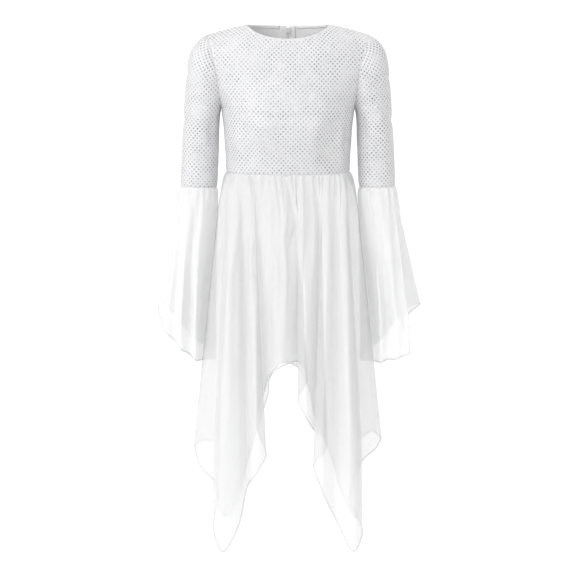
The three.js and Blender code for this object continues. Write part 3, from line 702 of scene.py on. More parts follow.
# Each crease is its width, its depth and its run in the view named: across it and up, in mm. A
# negative depth is a ridge. Left and right are the wearer's.
VIEWS = {
    "front": (0, (0, -1, 0)),
    "back": (0, (0, 1, 0)),
    "left": (1, (1, 0, 0)),
    "right": (1, (-1, 0, 0)),
}

BODICE_FRONT_CREASES = {
    "front": [
        (9, 2.2, [(-104, -195), (-60, -197), (-7, -201), (39, -200), (86, -195)]),
        (12, -3.2, [(-83, -216), (-56, -223), (-21, -218)]),
        (12, -2.5, [(21, -216), (58, -223), (88, -214)]),
        (9, -2.0, [(-106, -167), (-95, -188)]),
        (10, -2.0, [(51, -149), (74, -158), (93, -183)]),
        (11, 2.5, [(-160, -99), (-134, -115), (-107, -142)]),
        (10, -3.0, [(-158, -129), (-137, -156), (-121, -194)]),
        (8, 3.5, [(-157, -172), (-145, -188), (-145, -214)]),
        (8, 3.5, [(159, -162), (148, -176), (143, -200)]),
        (11, -3.8, [(-121, -212), (-117, -254), (-115, -334)]),
        (13, 3.0, [(-95, -212), (-88, -258), (-84, -334)]),
        (26, 5.8, [(114, -189), (102, -244), (91, -291), (93, -340)]),
        (9, -3.2, [(129, -213), (124, -269), (127, -334)]),
        (8, 3.0, [(141, -214), (136, -237), (136, -261)]),
        (12, -1.8, [(-180, -35), (-159, -44)]),
        (13, -2.0, [(-156, -76), (-121, -72)]),
        (15, -1.9, [(-88, -57), (-28, -48)]),
        (20, 1.8, [(70, -69), (98, -106), (149, -120)]),
    ],
}
BODICE_BACK_CREASES = {
    "back": [
        (13, 2.6, [(-100, -234), (-60, -246), (-14, -250)]),
        (13, 2.4, [(104, -228), (62, -246), (16, -252)]),
        (10, -1.8, [(-104, -214), (-66, -226), (-30, -230)]),
        (10, -1.6, [(100, -206), (64, -220), (32, -226)]),
        (10, 2.4, [(-140, -150), (-116, -176), (-96, -206)]),
        (10, 2.2, [(142, -146), (120, -170), (98, -198)]),
        (14, 2.2, [(-106, -262), (-102, -300), (-104, -336)]),
        (13, -2.2, [(108, -256), (106, -298), (102, -336)]),
        (15, 1.6, [(-118, -66), (-86, -84), (-58, -94)]),
        (15, 1.5, [(116, -62), (88, -80), (66, -94)]),
    ],
}
SLEEVE_LEFT_CREASES = {
    "front": [
        (12, 3.5, [(180, -104), (199, -118), (225, -123)]),
        (9, -3.2, [(171, -142), (188, -158), (204, -170)]),
        (9, -3.0, [(202, -175), (216, -193), (223, -219)]),
        (13, 4.5, [(172, -200), (179, -235), (193, -275)]),
        (13, 2.8, [(207, -257), (217, -283), (217, -318)]),
        (9, -2.0, [(188, -280), (196, -309), (198, -337)]),
    ],
    "back": [
        (12, 3.0, [(236, -150), (212, -176), (184, -188)]),
        (10, -2.5, [(232, -190), (208, -206), (186, -212)]),
        (12, 2.8, [(230, -230), (208, -238), (184, -236)]),
        (12, 2.2, [(200, -262), (212, -296), (216, -334)]),
    ],
    "left": [
        (14, 2.5, [(-24, -100), (6, -116), (34, -112)]),
        (14, 2.8, [(26, -196), (0, -214), (-26, -208)]),
    ],
}
SLEEVE_RIGHT_CREASES = {
    "front": [
        (10, 3.0, [(-174, -191), (-181, -233), (-179, -280)]),
        (10, 2.2, [(-230, -149), (-209, -170), (-183, -177)]),
        (10, -2.2, [(-235, -182), (-216, -203), (-190, -212)]),
        (12, 2.0, [(-215, -65), (-197, -97), (-178, -116)]),
        (12, 2.0, [(-236, -271), (-217, -290), (-198, -323)]),
    ],
    "back": [
        (12, 3.0, [(-238, -158), (-214, -170), (-186, -192)]),
        (10, -2.5, [(-230, -196), (-206, -204), (-184, -218)]),
        (12, 2.5, [(-198, -240), (-214, -272), (-220, -310)]),
    ],
    "right": [
        (14, 2.5, [(-20, -90), (8, -108), (32, -118)]),
        (14, 2.5, [(28, -188), (2, -212), (-24, -216)]),
    ],
}
SKIRT_FRONT_CREASES = {
    "front": [
        (13, 5.4, [(-146, -363), (-165, -455), (-184, -526), (-197, -646), (-199, -737), (-205, -826)]),
        (9, 3.5, [(-136, -383), (-145, -468), (-158, -538), (-167, -595), (-175, -702)]),
        (12, -5.4, [(-116, -365), (-122, -475), (-134, -574), (-139, -726), (-139, -867), (-142, -987)]),
        (9, 5.4, [(-79, -412), (-94, -484), (-99, -536), (-103, -605), (-103, -699), (-109, -927)]),
        (6, -2.2, [(-82, -477), (-89, -536), (-84, -600)]),
        (8, -3.2, [(-51, -369), (-61, -447), (-68, -505)]),
        (
            10, 6.0,
            [(-30, -355), (-34, -442), (-36, -508), (-42, -574), (-49, -640), (-47, -707), (-54, -819)],
        ),
        (10, -5.4, [(-5, -346), (-7, -451), (-12, -498), (-6, -554), (-9, -639), (-9, -734), (-12, -806)]),
        (8, 4.3, [(21, -360), (21, -451), (6, -503), (5, -573), (7, -675)]),
        (6, -2.7, [(33, -346), (33, -428), (30, -510)]),
        (12, 7.2, [(49, -393), (47, -489), (37, -564), (31, -640), (26, -707), (21, -759)]),
        (8, -3.0, [(63, -351), (61, -451), (59, -536), (52, -640), (52, -747)]),
        (8, 4.4, [(79, -383), (77, -465), (75, -593), (74, -711), (73, -867), (66, -987)]),
        (8, -3.0, [(93, -369), (96, -474), (94, -545), (89, -687), (90, -866)]),
        (
            10, 6.2,
            [(112, -405), (111, -494), (108, -640), (108, -735), (111, -867), (114, -987), (114, -1084)],
        ),
        (10, -4.1, [(119, -364), (124, -486), (129, -604), (134, -746), (139, -890), (142, -1034)]),
        (
            12, 6.2,
            [(143, -362), (147, -453), (155, -548), (163, -643), (165, -729), (166, -870), (169, -967)],
        ),
        (9, -3.5, [(-70, -557), (-73, -640), (-75, -747), (-73, -891), (-76, -987)]),
    ],
    "left": [
        (9, 3.5, [(-40, -372), (-46, -500), (-48, -660), (-46, -820)]),
        (9, -2.7, [(-22, -352), (-26, -470), (-28, -620), (-26, -760)]),
    ],
    "right": [
        (9, 3.5, [(-38, -366), (-44, -490), (-48, -640), (-48, -800)]),
        (9, -2.7, [(-18, -352), (-24, -480), (-26, -640), (-24, -790)]),
    ],
}
SKIRT_BACK_CREASES = {
    "back": [
        (13, 5.4, [(143, -360), (160, -460), (182, -600), (196, -760), (202, -860)]),
        (9, -4.1, [(112, -352), (122, -470), (138, -600), (150, -760), (158, -960)]),
        (8, 4.9, [(88, -372), (97, -480), (104, -600), (112, -760), (116, -900)]),
        (7, -3.0, [(66, -350), (70, -430), (74, -520)]),
        (9, 6.2, [(46, -360), (52, -470), (58, -600), (60, -740), (62, -830)]),
        (9, -4.1, [(26, -348), (28, -460), (32, -600), (34, -760)]),
        (7, 4.1, [(8, -380), (6, -480), (4, -580), (8, -700)]),
        (8, -3.2, [(-14, -350), (-16, -460), (-20, -600), (-22, -760)]),
        (9, 5.9, [(-38, -356), (-42, -470), (-48, -600), (-50, -720), (-48, -800)]),
        (8, -3.5, [(-60, -352), (-66, -460), (-74, -600), (-80, -800), (-84, -920)]),
        (8, 4.6, [(-84, -366), (-92, -470), (-98, -600), (-104, -760), (-106, -940)]),
        (7, -3.0, [(-104, -350), (-112, -440), (-120, -540)]),
        (9, 5.7, [(-120, -372), (-134, -480), (-148, -620), (-158, -780), (-164, -900)]),
        (10, -4.1, [(-138, -356), (-152, -470), (-168, -600), (-176, -780), (-182, -1000)]),
    ],
    "left": [
        (9, 3.5, [(38, -368), (42, -490), (44, -640), (42, -800)]),
        (9, -2.7, [(18, -352), (20, -460), (22, -600), (20, -740)]),
    ],
    "right": [
        (9, 3.5, [(36, -374), (42, -500), (44, -650), (42, -790)]),
        (9, -2.7, [(16, -354), (18, -470), (22, -620), (20, -760)]),
    ],
}
FLOUNCE_LEFT_CREASES = {
    "front": [
        (17, -7.0, [(216, -382), (222, -440), (229, -500), (236, -560), (238, -590)]),
        (15, 4.6, [(190, -376), (197, -436), (208, -500), (216, -560), (222, -610)]),
        (13, 3.4, [(250, -400), (254, -470), (258, -540), (258, -610), (256, -700)]),
        (7, 2.6, [(239, -368), (244, -400), (250, -430)]),
        (7, -1.8, [(249, -368), (255, -406)]),
        (12, -2.4, [(272, -450), (280, -540), (288, -600)]),
        (17, -3.8, [(206, -640), (212, -690), (218, -750)]),
        (12, 2.4, [(236, -640), (240, -690), (244, -740)]),
    ],
    "back": [
        (11, 3.2, [(196, -384), (200, -470), (204, -580), (206, -700)]),
        (11, -2.4, [(214, -378), (220, -470), (228, -600), (234, -720)]),
        (10, 2.9, [(230, -384), (240, -470), (250, -570)]),
        (11, -2.2, [(246, -378), (258, -470), (270, -590), (276, -680)]),
        (11, 2.9, [(262, -420), (274, -500), (288, -600), (294, -650)]),
    ],
    "left": [
        (11, 2.7, [(-20, -382), (-14, -470), (-8, -560), (0, -640)]),
        (11, -2.1, [(4, -380), (12, -480), (20, -580)]),
        (11, 2.4, [(26, -390), (34, -480), (40, -590), (42, -650)]),
    ],
}
FLOUNCE_RIGHT_CREASES = {
    "front": [
        (13, -2.0, [(-251, -378), (-254, -471), (-262, -548), (-267, -615)]),
        (11, 1.7, [(-242, -381), (-247, -471), (-250, -543), (-262, -615)]),
        (15, -2.2, [(-232, -378), (-233, -471), (-231, -547), (-238, -614), (-248, -675)]),
        (11, 2.6, [(-212, -376), (-211, -412), (-214, -459), (-219, -507)]),
        (14, 3.2, [(-210, -548), (-203, -591), (-203, -620), (-213, -654)]),
        (12, 2.8, [(-222, -683), (-225, -716), (-225, -755)]),
        (11, -2.0, [(-201, -378), (-204, -459), (-212, -507)]),
        (16, 2.8, [(-178, -376), (-179, -472), (-184, -544), (-191, -616), (-196, -677)]),
        (11, 2.1, [(-267, -603), (-277, -651), (-277, -687)]),
        (13, 1.5, [(-281, -532), (-291, -592), (-297, -653)]),
    ],
    "back": [
        (11, 3.0, [(-198, -386), (-204, -480), (-206, -590), (-204, -690)]),
        (11, -2.4, [(-216, -378), (-224, -480), (-230, -590), (-232, -700)]),
        (10, 3.0, [(-234, -388), (-244, -480), (-254, -590), (-258, -670)]),
        (11, -2.1, [(-250, -378), (-264, -480), (-276, -600)]),
        (11, 2.4, [(-266, -430), (-280, -520), (-292, -620)]),
    ],
    "right": [
        (11, 2.7, [(-22, -380), (-16, -480), (-10, -570), (-4, -650)]),
        (11, -2.1, [(2, -382), (10, -470), (18, -570)]),
        (11, 2.2, [(24, -388), (32, -490), (40, -600)]),
    ],
}


CREASE_TURNS = 0.7  # how gently one fades where the cloth turns away from its view
CREASE_WIDENS = 0.8, 1.15  # from its start to its end
CREASE_IN, CREASE_OUT = 0.22, 0.72  # where along it it's full, and starts to fade
CREASE_BANKS = 0.5  # how much the cloth beside it rises the other way
RUMPLE_WAVES, RUMPLE_PHASE = 7, 6.3


def nearest(places, line):
    """How far each place in a view is from a line drawn there, and at what share of its length."""
    far = np.full(places.shape[:-1], np.inf)
    share = np.zeros_like(far)
    lengths = run_of(line)
    for start, end, begun, span in zip(line, line[1:], lengths, np.diff(lengths)):
        along = np.clip((places - start) @ (end - start) / span**2, 0, 1)
        off = length(places - start - along[..., None] * (end - start))[..., 0]
        closer = off < far
        far = np.where(closer, off, far)
        share = np.where(closer, (begun + along * span) / lengths[-1], share)
    return far, share


def creased(grid, closed, views):
    """How far cloth stands out at each point of its grid, for the creases seen in some views."""
    away = outwards(grid, closed)
    height = np.zeros(grid.shape[:2])
    for view, creases in views.items():
        axis, towards = VIEWS[view]
        places = grid[..., [axis, 2]]
        turned = np.clip(away @ np.array(towards, float), 0, 1) ** CREASE_TURNS
        for width, deep, path in creases:
            path = np.array(path, float)
            line = catmull_rom(path, np.linspace(0, 1, 4 * len(path)))
            far, share = nearest(places, line)
            off = far / (width * lerp(*CREASE_WIDENS, share))
            taper = smoothstep(share, 0, CREASE_IN) * (1 - smoothstep(share, CREASE_OUT, 1))
            height -= deep * (1 - CREASE_BANKS * off**2) * np.exp(-(off**2)) * taper * turned
    return height


def rumple(grid, scale, deep, seed):
    """Broad unevenness, which no hung cloth is without."""
    rng = np.random.default_rng(seed)
    height = np.zeros(grid.shape[:2])
    for _ in range(RUMPLE_WAVES):
        wave = rng.normal(size=3) / scale
        height += np.sin(grid @ wave * np.pi + rng.uniform(0, RUMPLE_PHASE))
    return height * deep / RUMPLE_WAVES**0.5


SEAM_DIP, SEAM_DIP_WIDTH = 0.4, 3.0


def dipped(distance):
    return -SEAM_DIP * np.exp(-((distance / SEAM_DIP_WIDTH) ** 2))


# ---------------------------------------------------------------- silver dots

DOT_ACROSS, DOT_DOWN = 11.2, 11.7  # the lattice, with one more dot in the middle of each cell
DOT_RADIUS, DOT_VARIES = 2.0, (0.9, 1.1)
DOT_RISE = 0.55
DOT_SUNK = 0.2
DOT_TILT = 0.07
SHOULDER_OUT, SHOULDER_UP = 0.72, 0.85  # the dome's second ring, as shares of the radius and rise
DOT_SIDES = 10
NEWTON_STEPS = 5


def weights(s, t):
    """The share that each corner of a cell has in the point at shares s and t across it."""
    return (1 - s) * (1 - t), s * (1 - t), s * t, (1 - s) * t


def lattice(grid, away, lie, keep):
    """Places and ways out of the dots that fall on a grid, by its flat lie. keep says which
    points of the grid may carry one."""
    across, up = lie
    places, ways = [], []
    for offset in (0.0, 0.5):
        a, b = across / DOT_ACROSS - offset, up / DOT_DOWN - offset
        for j, i in np.argwhere(keep[:-1, :-1]):
            ends = ((j, i), (j, i + 1), (j + 1, i + 1), (j + 1, i))
            ca, cb = [a[end] for end in ends], [b[end] for end in ends]
            for m in range(math.ceil(min(ca)), math.floor(max(ca)) + 1):
                for n in range(math.ceil(min(cb)), math.floor(max(cb)) + 1):
                    found = inverse_bilinear(ca, cb, m, n)
                    if found:
                        places.append(sum(w * grid[end] for w, end in zip(weights(*found), ends)))
                        ways.append(sum(w * away[end] for w, end in zip(weights(*found), ends)))
    return np.array(places), unit(np.array(ways))


def inverse_bilinear(ca, cb, m, n):
    """Where in a cell the point (m, n) is, as two shares, or None if it's outside."""
    s = t = 0.5
    for _ in range(NEWTON_STEPS):
        fa = sum(w * corner for w, corner in zip(weights(s, t), ca)) - m
        fb = sum(w * corner for w, corner in zip(weights(s, t), cb)) - n
        a_by_s = (1 - t) * (ca[1] - ca[0]) + t * (ca[2] - ca[3])
        a_by_t = (1 - s) * (ca[3] - ca[0]) + s * (ca[2] - ca[1])
        b_by_s = (1 - t) * (cb[1] - cb[0]) + t * (cb[2] - cb[3])
        b_by_t = (1 - s) * (cb[3] - cb[0]) + s * (cb[2] - cb[1])
        size = a_by_s * b_by_t - a_by_t * b_by_s
        if abs(size) < 1e-12:
            return None
        s -= (fa * b_by_t - fb * a_by_t) / size
        t -= (a_by_s * fb - b_by_s * fa) / size
    return (s, t) if 0 <= s < 1 and 0 <= t < 1 else None


def dots(name, places, ways, seed):
    """Domed silver dots, each a little tilted."""
    rng = np.random.default_rng(seed)
    count = len(places)
    ways = unit(ways + rng.normal(scale=DOT_TILT, size=(count, 3)))
    aside = unit(np.cross(ways, (0.0, 0.0, 1.0)) + 1e-9)
    up = np.cross(ways, aside)
    radius = DOT_RADIUS * rng.uniform(*DOT_VARIES, (count, 1, 1))
    angles = np.linspace(0, 2 * np.pi, DOT_SIDES, endpoint=False)[:, None]
    rim = radius * (np.cos(angles) * aside[:, None] + np.sin(angles) * up[:, None])
    floor = places - DOT_SUNK * ways
    ring = floor[:, None] + rim
    shoulder = floor[:, None] + SHOULDER_OUT * rim + DOT_RISE * SHOULDER_UP * ways[:, None]
    crown = (floor + DOT_RISE * ways)[:, None]
    faces = [tuple(range(DOT_SIDES))]
    for k in range(DOT_SIDES):
        n = (k + 1) % DOT_SIDES
        faces.append((DOT_SIDES + k, DOT_SIDES + n, n, k))
        faces.append((2 * DOT_SIDES, DOT_SIDES + n, DOT_SIDES + k))
    return joined(name, np.concatenate([ring, shoulder, crown], axis=1), faces, SILVER_PAINTED_GLINTS)


# ---------------------------------------------------------------- the bodice

NECK_PLAIN = 7.5  # no dots on the neck's hem
EDGE_PLAIN = 2.6
PATTERN_ROWS, PATTERN_COLUMNS, UNWRAP_ROUNDS = 30, 34, 10
EASED_FROM, EASED_OVER, EASED_ROUNDS = 0.62, 10, 90  # a share of the rows, rows, and how often
ZIP_PARTS_WITHIN = 14  # of the centre edge
BODICE_GRID_ROWS = 100
SLEEVE_GRID = (72, 84)  # columns, rows
BODICE_RUMPLE, SLEEVE_RUMPLE = (110, 0.7, 5), (100, 0.6, 9)  # size, depth, seed
# From where to where by a seam the cloth's unevenness sets in.
BY_TOP, BY_WAIST, BY_ARMHOLE, BY_CUFF = (4, 30), (0, 14), (0, 30), (0, 12)


def run_lie(grid):
    """The run of each point across from its row's start, and up from the lowest row."""
    return run_along(grid, 1), run_along(grid, 0)


def flat_lie(grid, middle):
    """How far across and up each point lies once the cloth is laid flat with the least stretch,
    from the foot of its middle column."""
    rows, columns = grid.shape[:2]
    j = np.unique(np.linspace(0, rows - 1, PATTERN_ROWS).astype(int))
    i = np.unique(np.append(np.linspace(0, columns - 1, PATTERN_COLUMNS).astype(int), middle))
    coarse = grid[np.ix_(j, i)]
    mesh = bpy.data.meshes.new("pattern")
    faces = shell_faces(len(j), len(i) - 1, False, lambda row, column: row * len(i) + column, 0)[0]
    mesh.from_pydata(coarse.reshape(-1, 3) * MM, [], faces.tolist())
    pattern = bpy.data.objects.new("pattern", mesh)
    bpy.context.collection.objects.link(pattern)
    bpy.context.view_layer.objects.active = pattern
    bpy.ops.object.mode_set(mode="EDIT")
    bpy.ops.mesh.select_all(action="SELECT")
    bpy.ops.uv.unwrap(method="MINIMUM_STRETCH", iterations=UNWRAP_ROUNDS)
    bpy.ops.object.mode_set(mode="OBJECT")
    corners = np.empty(len(mesh.loops) * 2, np.float32)
    mesh.uv_layers[0].data.foreach_get("uv", corners)
    flat = np.empty((len(j) * len(i), 2))
    flat[faces.reshape(-1)] = corners.reshape(-1, 2)
    bpy.data.objects.remove(pattern)
    bpy.data.meshes.remove(mesh)

    # Turned and sized to the middle column, then filled in between the coarse points.
    flat = flat.reshape(len(j), len(i), 2)
    column = list(i).index(middle)
    upright = flat[-1, column] - flat[0, column]
    size = run_along(coarse, 0)[-1, column] / length(np.diff(flat[:, column], axis=0)).sum()
    cosine, sine = upright[::-1] / np.linalg.norm(upright)
    across, up = (flat - flat[0, column]).transpose(2, 0, 1) * size
    across, up = across * cosine - up * sine, across * sine + up * cosine
    filled = []
    for part in (across, up):
        wide = np.array([np.interp(np.arange(columns), i, row) for row in part])
        filled.append(np.array([np.interp(np.arange(rows), j, line) for line in wide.T]).T)
    return filled


def eased(grid):
    """The grid with the fold below each end of the neckline smoothed away, its edges kept."""
    grid = grid.copy()
    start = int(len(grid) * EASED_FROM)
    weight = smoothstep(np.arange(len(grid)), start, start + EASED_OVER)[1:-1, None, None]
    for _ in range(EASED_ROUNDS):
        middle = grid[1:-1, 1:-1]
        beside = (grid[1:-1, :-2] + grid[1:-1, 2:] + grid[:-2, 1:-1] + grid[2:, 1:-1]) / 4
        grid[1:-1, 1:-1] = lerp(middle, beside, weight)
    return grid


def bodice_panel(name, face, start, end, columns, creases, seed):
    """A piece of the bodice between two shares across, with its dots, and the grid it is made on."""
    grid = eased(bodice_surface(face, start, end, columns, BODICE_GRID_ROWS))
    middle = int(np.argmin(np.abs(np.linspace(start, end, columns))))
    if start * end == 0:  # half a back, whose centre edge parts round the slider
        side = 1 if start + end > 0 else -1
        top = NECK_TOP - NECK_DROP["back"]
        gap = OPENING_GAP * smoothstep(grid[..., 2], top - OPENING_DEPTH, top)
        near = np.clip(1 - np.abs(grid[..., 0]) / ZIP_PARTS_WITHIN, 0, 1)
        grid[..., 0] += side * (gap + SEAM / 2) * near
    run, up = run_lie(grid)
    to_end = run[:, [-1]] - run
    to_side = np.minimum(run if abs(start) == 1 else 1e9, to_end if abs(end) == 1 else 1e9)
    height = creased(grid, False, creases) + rumple(grid, *BODICE_RUMPLE)
    height *= smoothstep(up[-1] - up, *BY_TOP)
    height *= smoothstep(up, *BY_WAIST)
    height += dipped(to_side)
    grid = grid + outwards(grid, False) * height[..., None]
    lie = flat_lie(grid, middle)
    panel = shell(name, grid, KNIT, False, KNIT_FACE, KNIT_BACK_PAINTED_LIGHT, lie)

    up = run_along(grid, 0)
    clear = np.where(np.abs(grid[-1, :, 0]) < NECK_HALF, NECK_PLAIN, EDGE_PLAIN)
    keep = (up[-1] - up > clear) & (up > EDGE_PLAIN) & (run > EDGE_PLAIN) & (to_end > EDGE_PLAIN)
    specks = dots(name.replace("bodice", "dots"), *lattice(grid, outwards(grid, False), lie, keep), seed)
    return panel, specks, grid


def sleeve(name, side, creases, seed):
    """A sleeve with its dots."""
    grid = sleeve_surface(*SLEEVE_GRID)
    if side < 0:
        grid = mirrored(grid)
    up = run_along(grid, 0)
    height = creased(grid, True, creases) + rumple(grid, *SLEEVE_RUMPLE)
    height *= smoothstep(up[-1] - up, *BY_ARMHOLE) * smoothstep(up, *BY_CUFF)
    height += dipped(up[-1] - up) + dipped(up)
    grid = grid + outwards(grid, True) * height[..., None]

    sewn = looped(grid)
    around, up = run_lie(sewn)
    lie = flat_lie(sewn, SLEEVE_GRID[0] // 2)
    piece = shell(name, grid, KNIT, True, KNIT_FACE, KNIT_BACK_PAINTED_LIGHT, lie)
    keep = (up > EDGE_PLAIN) & (up[-1] - up > EDGE_PLAIN)
    keep &= (around > EDGE_PLAIN) & (around[:, [-1]] - around > EDGE_PLAIN)
    places, ways = lattice(sewn, looped(outwards(grid, True)), lie, keep)
    return piece, dots(name.replace("sleeve", "dots_sleeve"), places, ways, seed)


front, front_dots, front_grid = bodice_panel(
    "cloth_bodice_front", FRONT, -1, 1, 121, BODICE_FRONT_CREASES, SEED
)
back_left, back_left_dots, back_left_grid = bodice_panel(
    "cloth_bodice_back_left", BACK, 1, 0, 61, BODICE_BACK_CREASES, SEED + 1
)
back_right, back_right_dots, back_right_grid = bodice_panel(
    "cloth_bodice_back_right", BACK, 0, -1, 61, BODICE_BACK_CREASES, SEED + 2
)
sleeve_left, sleeve_left_dots = sleeve("cloth_sleeve_left", 1, SLEEVE_LEFT_CREASES, SEED + 3)
sleeve_right, sleeve_right_dots = sleeve("cloth_sleeve_right", -1, SLEEVE_RIGHT_CREASES, SEED + 4)

# ---------------------------------------------------------------- skirt and flounces

HEM_RADIUS, HEM_WOBBLE, HEM_WAVES = 1.15, 0.12, (2.3, 0.37)
CREASES_START = 12


def rolled_hem(name, grid, closed):
    """The narrow rolled hem round a gathered piece's lower edge, a little uneven."""
    away = outwards(grid, closed)[0]
    along = np.arange(len(grid[0]))
    quick, slow = HEM_WAVES
    wobble = 1 + HEM_WOBBLE * np.sin(along * quick) * np.sin(along * slow)
    return tube(name, grid[0] - away * CHIFFON / 2, away, HEM_RADIUS * wobble, HEM_THREAD, closed)


def gathered_piece(name, seam_at, folds, cut, side, columns, rows, creases, seed):
    """A piece of gathered cloth with its rolled hem. Its creases start below the seam."""
    closed = cut is FLOUNCE
    # The flounces take the lighter copy of the chiffon, which is painted light.
    cloth = FLOUNCE_CLOTH_PAINTED_LIGHT if closed else CHIFFON_CLOTH
    shares = np.linspace(0, 1, columns, endpoint=not closed)
    top, outward = seam_at(shares)
    grid = gathered(top, outward, folds, cut, shares, closed, rows, seed)
    if side < 0:
        grid = mirrored(grid)
    drop = grid[-1:, :, 2] - grid[..., 2]
    height = creased(grid, closed, creases) * (1 - np.exp(-drop / CREASES_START))
    grid = grid + outwards(grid, closed) * height[..., None]
    sewn = looped(grid) if closed else grid
    piece = shell(name, grid, CHIFFON, closed, cloth, cloth, run_lie(sewn))
    return piece, rolled_hem(name.replace("cloth", "hem"), grid, closed)


front_waist, back_waist = (functools.partial(waist_seam, face) for face in (FRONT, BACK))
skirt_front, hem_front = gathered_piece(
    "cloth_skirt_front", front_waist, SKIRT_FRONT, SKIRT, 1, 361, 104, SKIRT_FRONT_CREASES, SEED + 10
)
skirt_back, hem_back = gathered_piece(
    "cloth_skirt_back", back_waist, SKIRT_BACK, SKIRT, 1, 301, 104, SKIRT_BACK_CREASES, SEED + 20
)
flounce_left, hem_flounce_left = gathered_piece(
    "cloth_flounce_left", cuff_seam, FLOUNCE_LEFT, FLOUNCE, 1, 220, 70, FLOUNCE_LEFT_CREASES, SEED + 30
)
flounce_right, hem_flounce_right = gathered_piece(
    "cloth_flounce_right", cuff_seam, FLOUNCE_RIGHT, FLOUNCE, -1, 220, 70, FLOUNCE_RIGHT_CREASES, SEED + 40
)

# ---------------------------------------------------------------- seams

SEAM_RADIUS = 0.9
SEAM_SUNK = 0.75
WAIST_POINTS, RING_POINTS, SIDE_POINTS, SHOULDER_POINTS = 120, 90, 40, 24
ARMHOLE_OUT, ARMHOLE_DEPTH = 0.6, 60  # how the way out of that seam leans round it,
ARMHOLE_UP, ARMHOLE_TOP = 0.5, -60  # and up above this height
SHOULDER_LEAN, PAST_NECK = 0.1, 0.01


def seam(name, path, away, closed):
    """The closed seam where two pieces meet: a fine ridge that lies in the join."""
    away = unit(away)
    tube(name, path - SEAM_SUNK * away, away, SEAM_RADIUS, SEAM_THREAD, closed)


halves = [waist_seam(face, np.linspace(0, 1, WAIST_POINTS, endpoint=False)) for face in (FRONT, BACK)]
seam("seam_waist", *(np.concatenate(parts) for parts in zip(*halves)), True)
for name, side in SIDES.items():
    flip = np.array((side, 1, 1))
    angles = np.linspace(0, 360, RING_POINTS, endpoint=False)
    armhole = on_ring(ARMHOLE, angles)
    out_x = -np.cos(np.radians(angles)) * ARMHOLE_OUT
    out_z = ARMHOLE_UP * (armhole[:, 2] > ARMHOLE_TOP)
    armhole_away = points(out_x, armhole[:, 1] / ARMHOLE_DEPTH, out_z)
    seam(f"seam_armhole_{name}", armhole * flip, armhole_away * flip, True)
    cuff, cuff_away = cuff_seam(np.linspace(0, 1, RING_POINTS, endpoint=False))
    seam(f"seam_cuff_{name}", cuff * flip, cuff_away * flip, True)
    flank = np.array([row_end(row, FRONT) for row in BODICE_ROWS[:4]] + [on_ring(ARMHOLE, [0])[0]])
    flank = catmull_rom(flank, np.linspace(0, 1, SIDE_POINTS)) * flip
    seam(f"seam_side_{name}", flank, np.tile((side, 0, 0), (SIDE_POINTS, 1)), False)
    shoulder = on_top(FRONT, side * np.linspace(NECK_SHARE + PAST_NECK, 1, SHOULDER_POINTS))
    shoulder_away = np.tile((SHOULDER_LEAN * side, 0, 1), (SHOULDER_POINTS, 1))
    seam(f"seam_shoulder_{name}", shoulder, shoulder_away, False)

# ---------------------------------------------------------------- neck and zip

UNDER = KNIT + SEAM
LINING = 1.0  # the thickness of the turned-in hem and the tapes
NECK_HEM_ENDS, NECK_HEM_ROWS = 94, 8
NECK_HEM_STARTS = 19  # on the back, past the tape
TAPE_COLUMNS = 9
ZIP_FOOT = BODICE_ROWS[0][0] + TAPE_STOPS_ABOVE


def below_edge(grid, falls):
    """Rows of points at some falls below a panel's upper edge."""
    fall = run_along(grid, 0) - run_along(grid, 0)[-1]
    columns = range(grid.shape[1])
    return np.stack([interpolated(-falls, fall[:, i], grid[:, i]) for i in columns], axis=1)


def across_at(x, row, values):
    """The values at places across a row of a grid."""
    order = np.argsort(row[:, 0])
    return interpolated(x, row[order, 0], values[order])


def neck_hem(name, grid, start):
    """The hem turned in under the neckline, from a distance off the centre."""
    x = np.abs(grid[-1, :, 0])
    under = (grid - outwards(grid, False) * UNDER)[:, (x >= start) & (x <= NECK_HEM_ENDS)]
    made = below_edge(under, np.linspace(NECK_HEM_HEIGHT, SEAM, NECK_HEM_ROWS))
    # Both faces of the turned-in hem take the knit's lighter inside, which is painted light.
    return shell(name, made, LINING, False, KNIT_BACK_PAINTED_LIGHT, KNIT_BACK_PAINTED_LIGHT, run_lie(made))


def tape(name, grid, side):
    """One side of the zip, inside the back, from its stop up to the neck."""
    x = np.linspace(TAPE_OUTER, TAPE_INNER, TAPE_COLUMNS)[::side] * side
    made = np.array([across_at(x, row, row) for row in grid - outwards(grid, False) * UNDER])
    made[..., 0] = x
    made = made[made[:, 0, 2] > ZIP_FOOT]
    return shell(name, made, LINING, False, TAPE_WEAVE, TAPE_WEAVE, run_lie(made)), made


COIL_PITCH = 1.5
COIL_RADIUS, COIL_RIPPLE = 1.05, 0.18
COIL_OUT, COIL_FORWARD = 1.152, 1.1  # from the centre line and the tape's edge


def coil(name, grid, side):
    """The nylon coil along a tape's inner edge, up to the slider."""
    edge = grid[:, -1 if side > 0 else 0]
    slider_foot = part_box("zip_slider")[0][2] / MM
    line = edge[edge[:, 2] < slider_foot]
    even = np.arange(0, run_of(line)[-1], COIL_PITCH / 4)
    path = interpolated(even, run_of(line), line)
    path[:, 0] = side * COIL_OUT
    path[:, 1] -= COIL_FORWARD
    turn = even / COIL_PITCH * 2 * np.pi + (side > 0) * np.pi
    radius = COIL_RADIUS * (1 - COIL_RIPPLE + COIL_RIPPLE * np.cos(turn))
    return tube(name, path, np.tile((0.0, -1.0, 0.0), (len(path), 1)), radius, NYLON)


STITCH_PITCH, STITCH_LONG, STITCH_HALF, STITCH_SIDES = 3.2, 2.4, 0.28, 6
STITCH_END = 0.35  # its half thickness at each end, as a share
NECK_STITCH_FALL, NECK_STITCH_ENDS = 6.0, 93
NECK_STITCH_STARTS = 4  # on the back, past the centre edge
ZIP_STITCH_OUT, TAPE_STITCH_OUT = 7.0, 14.0


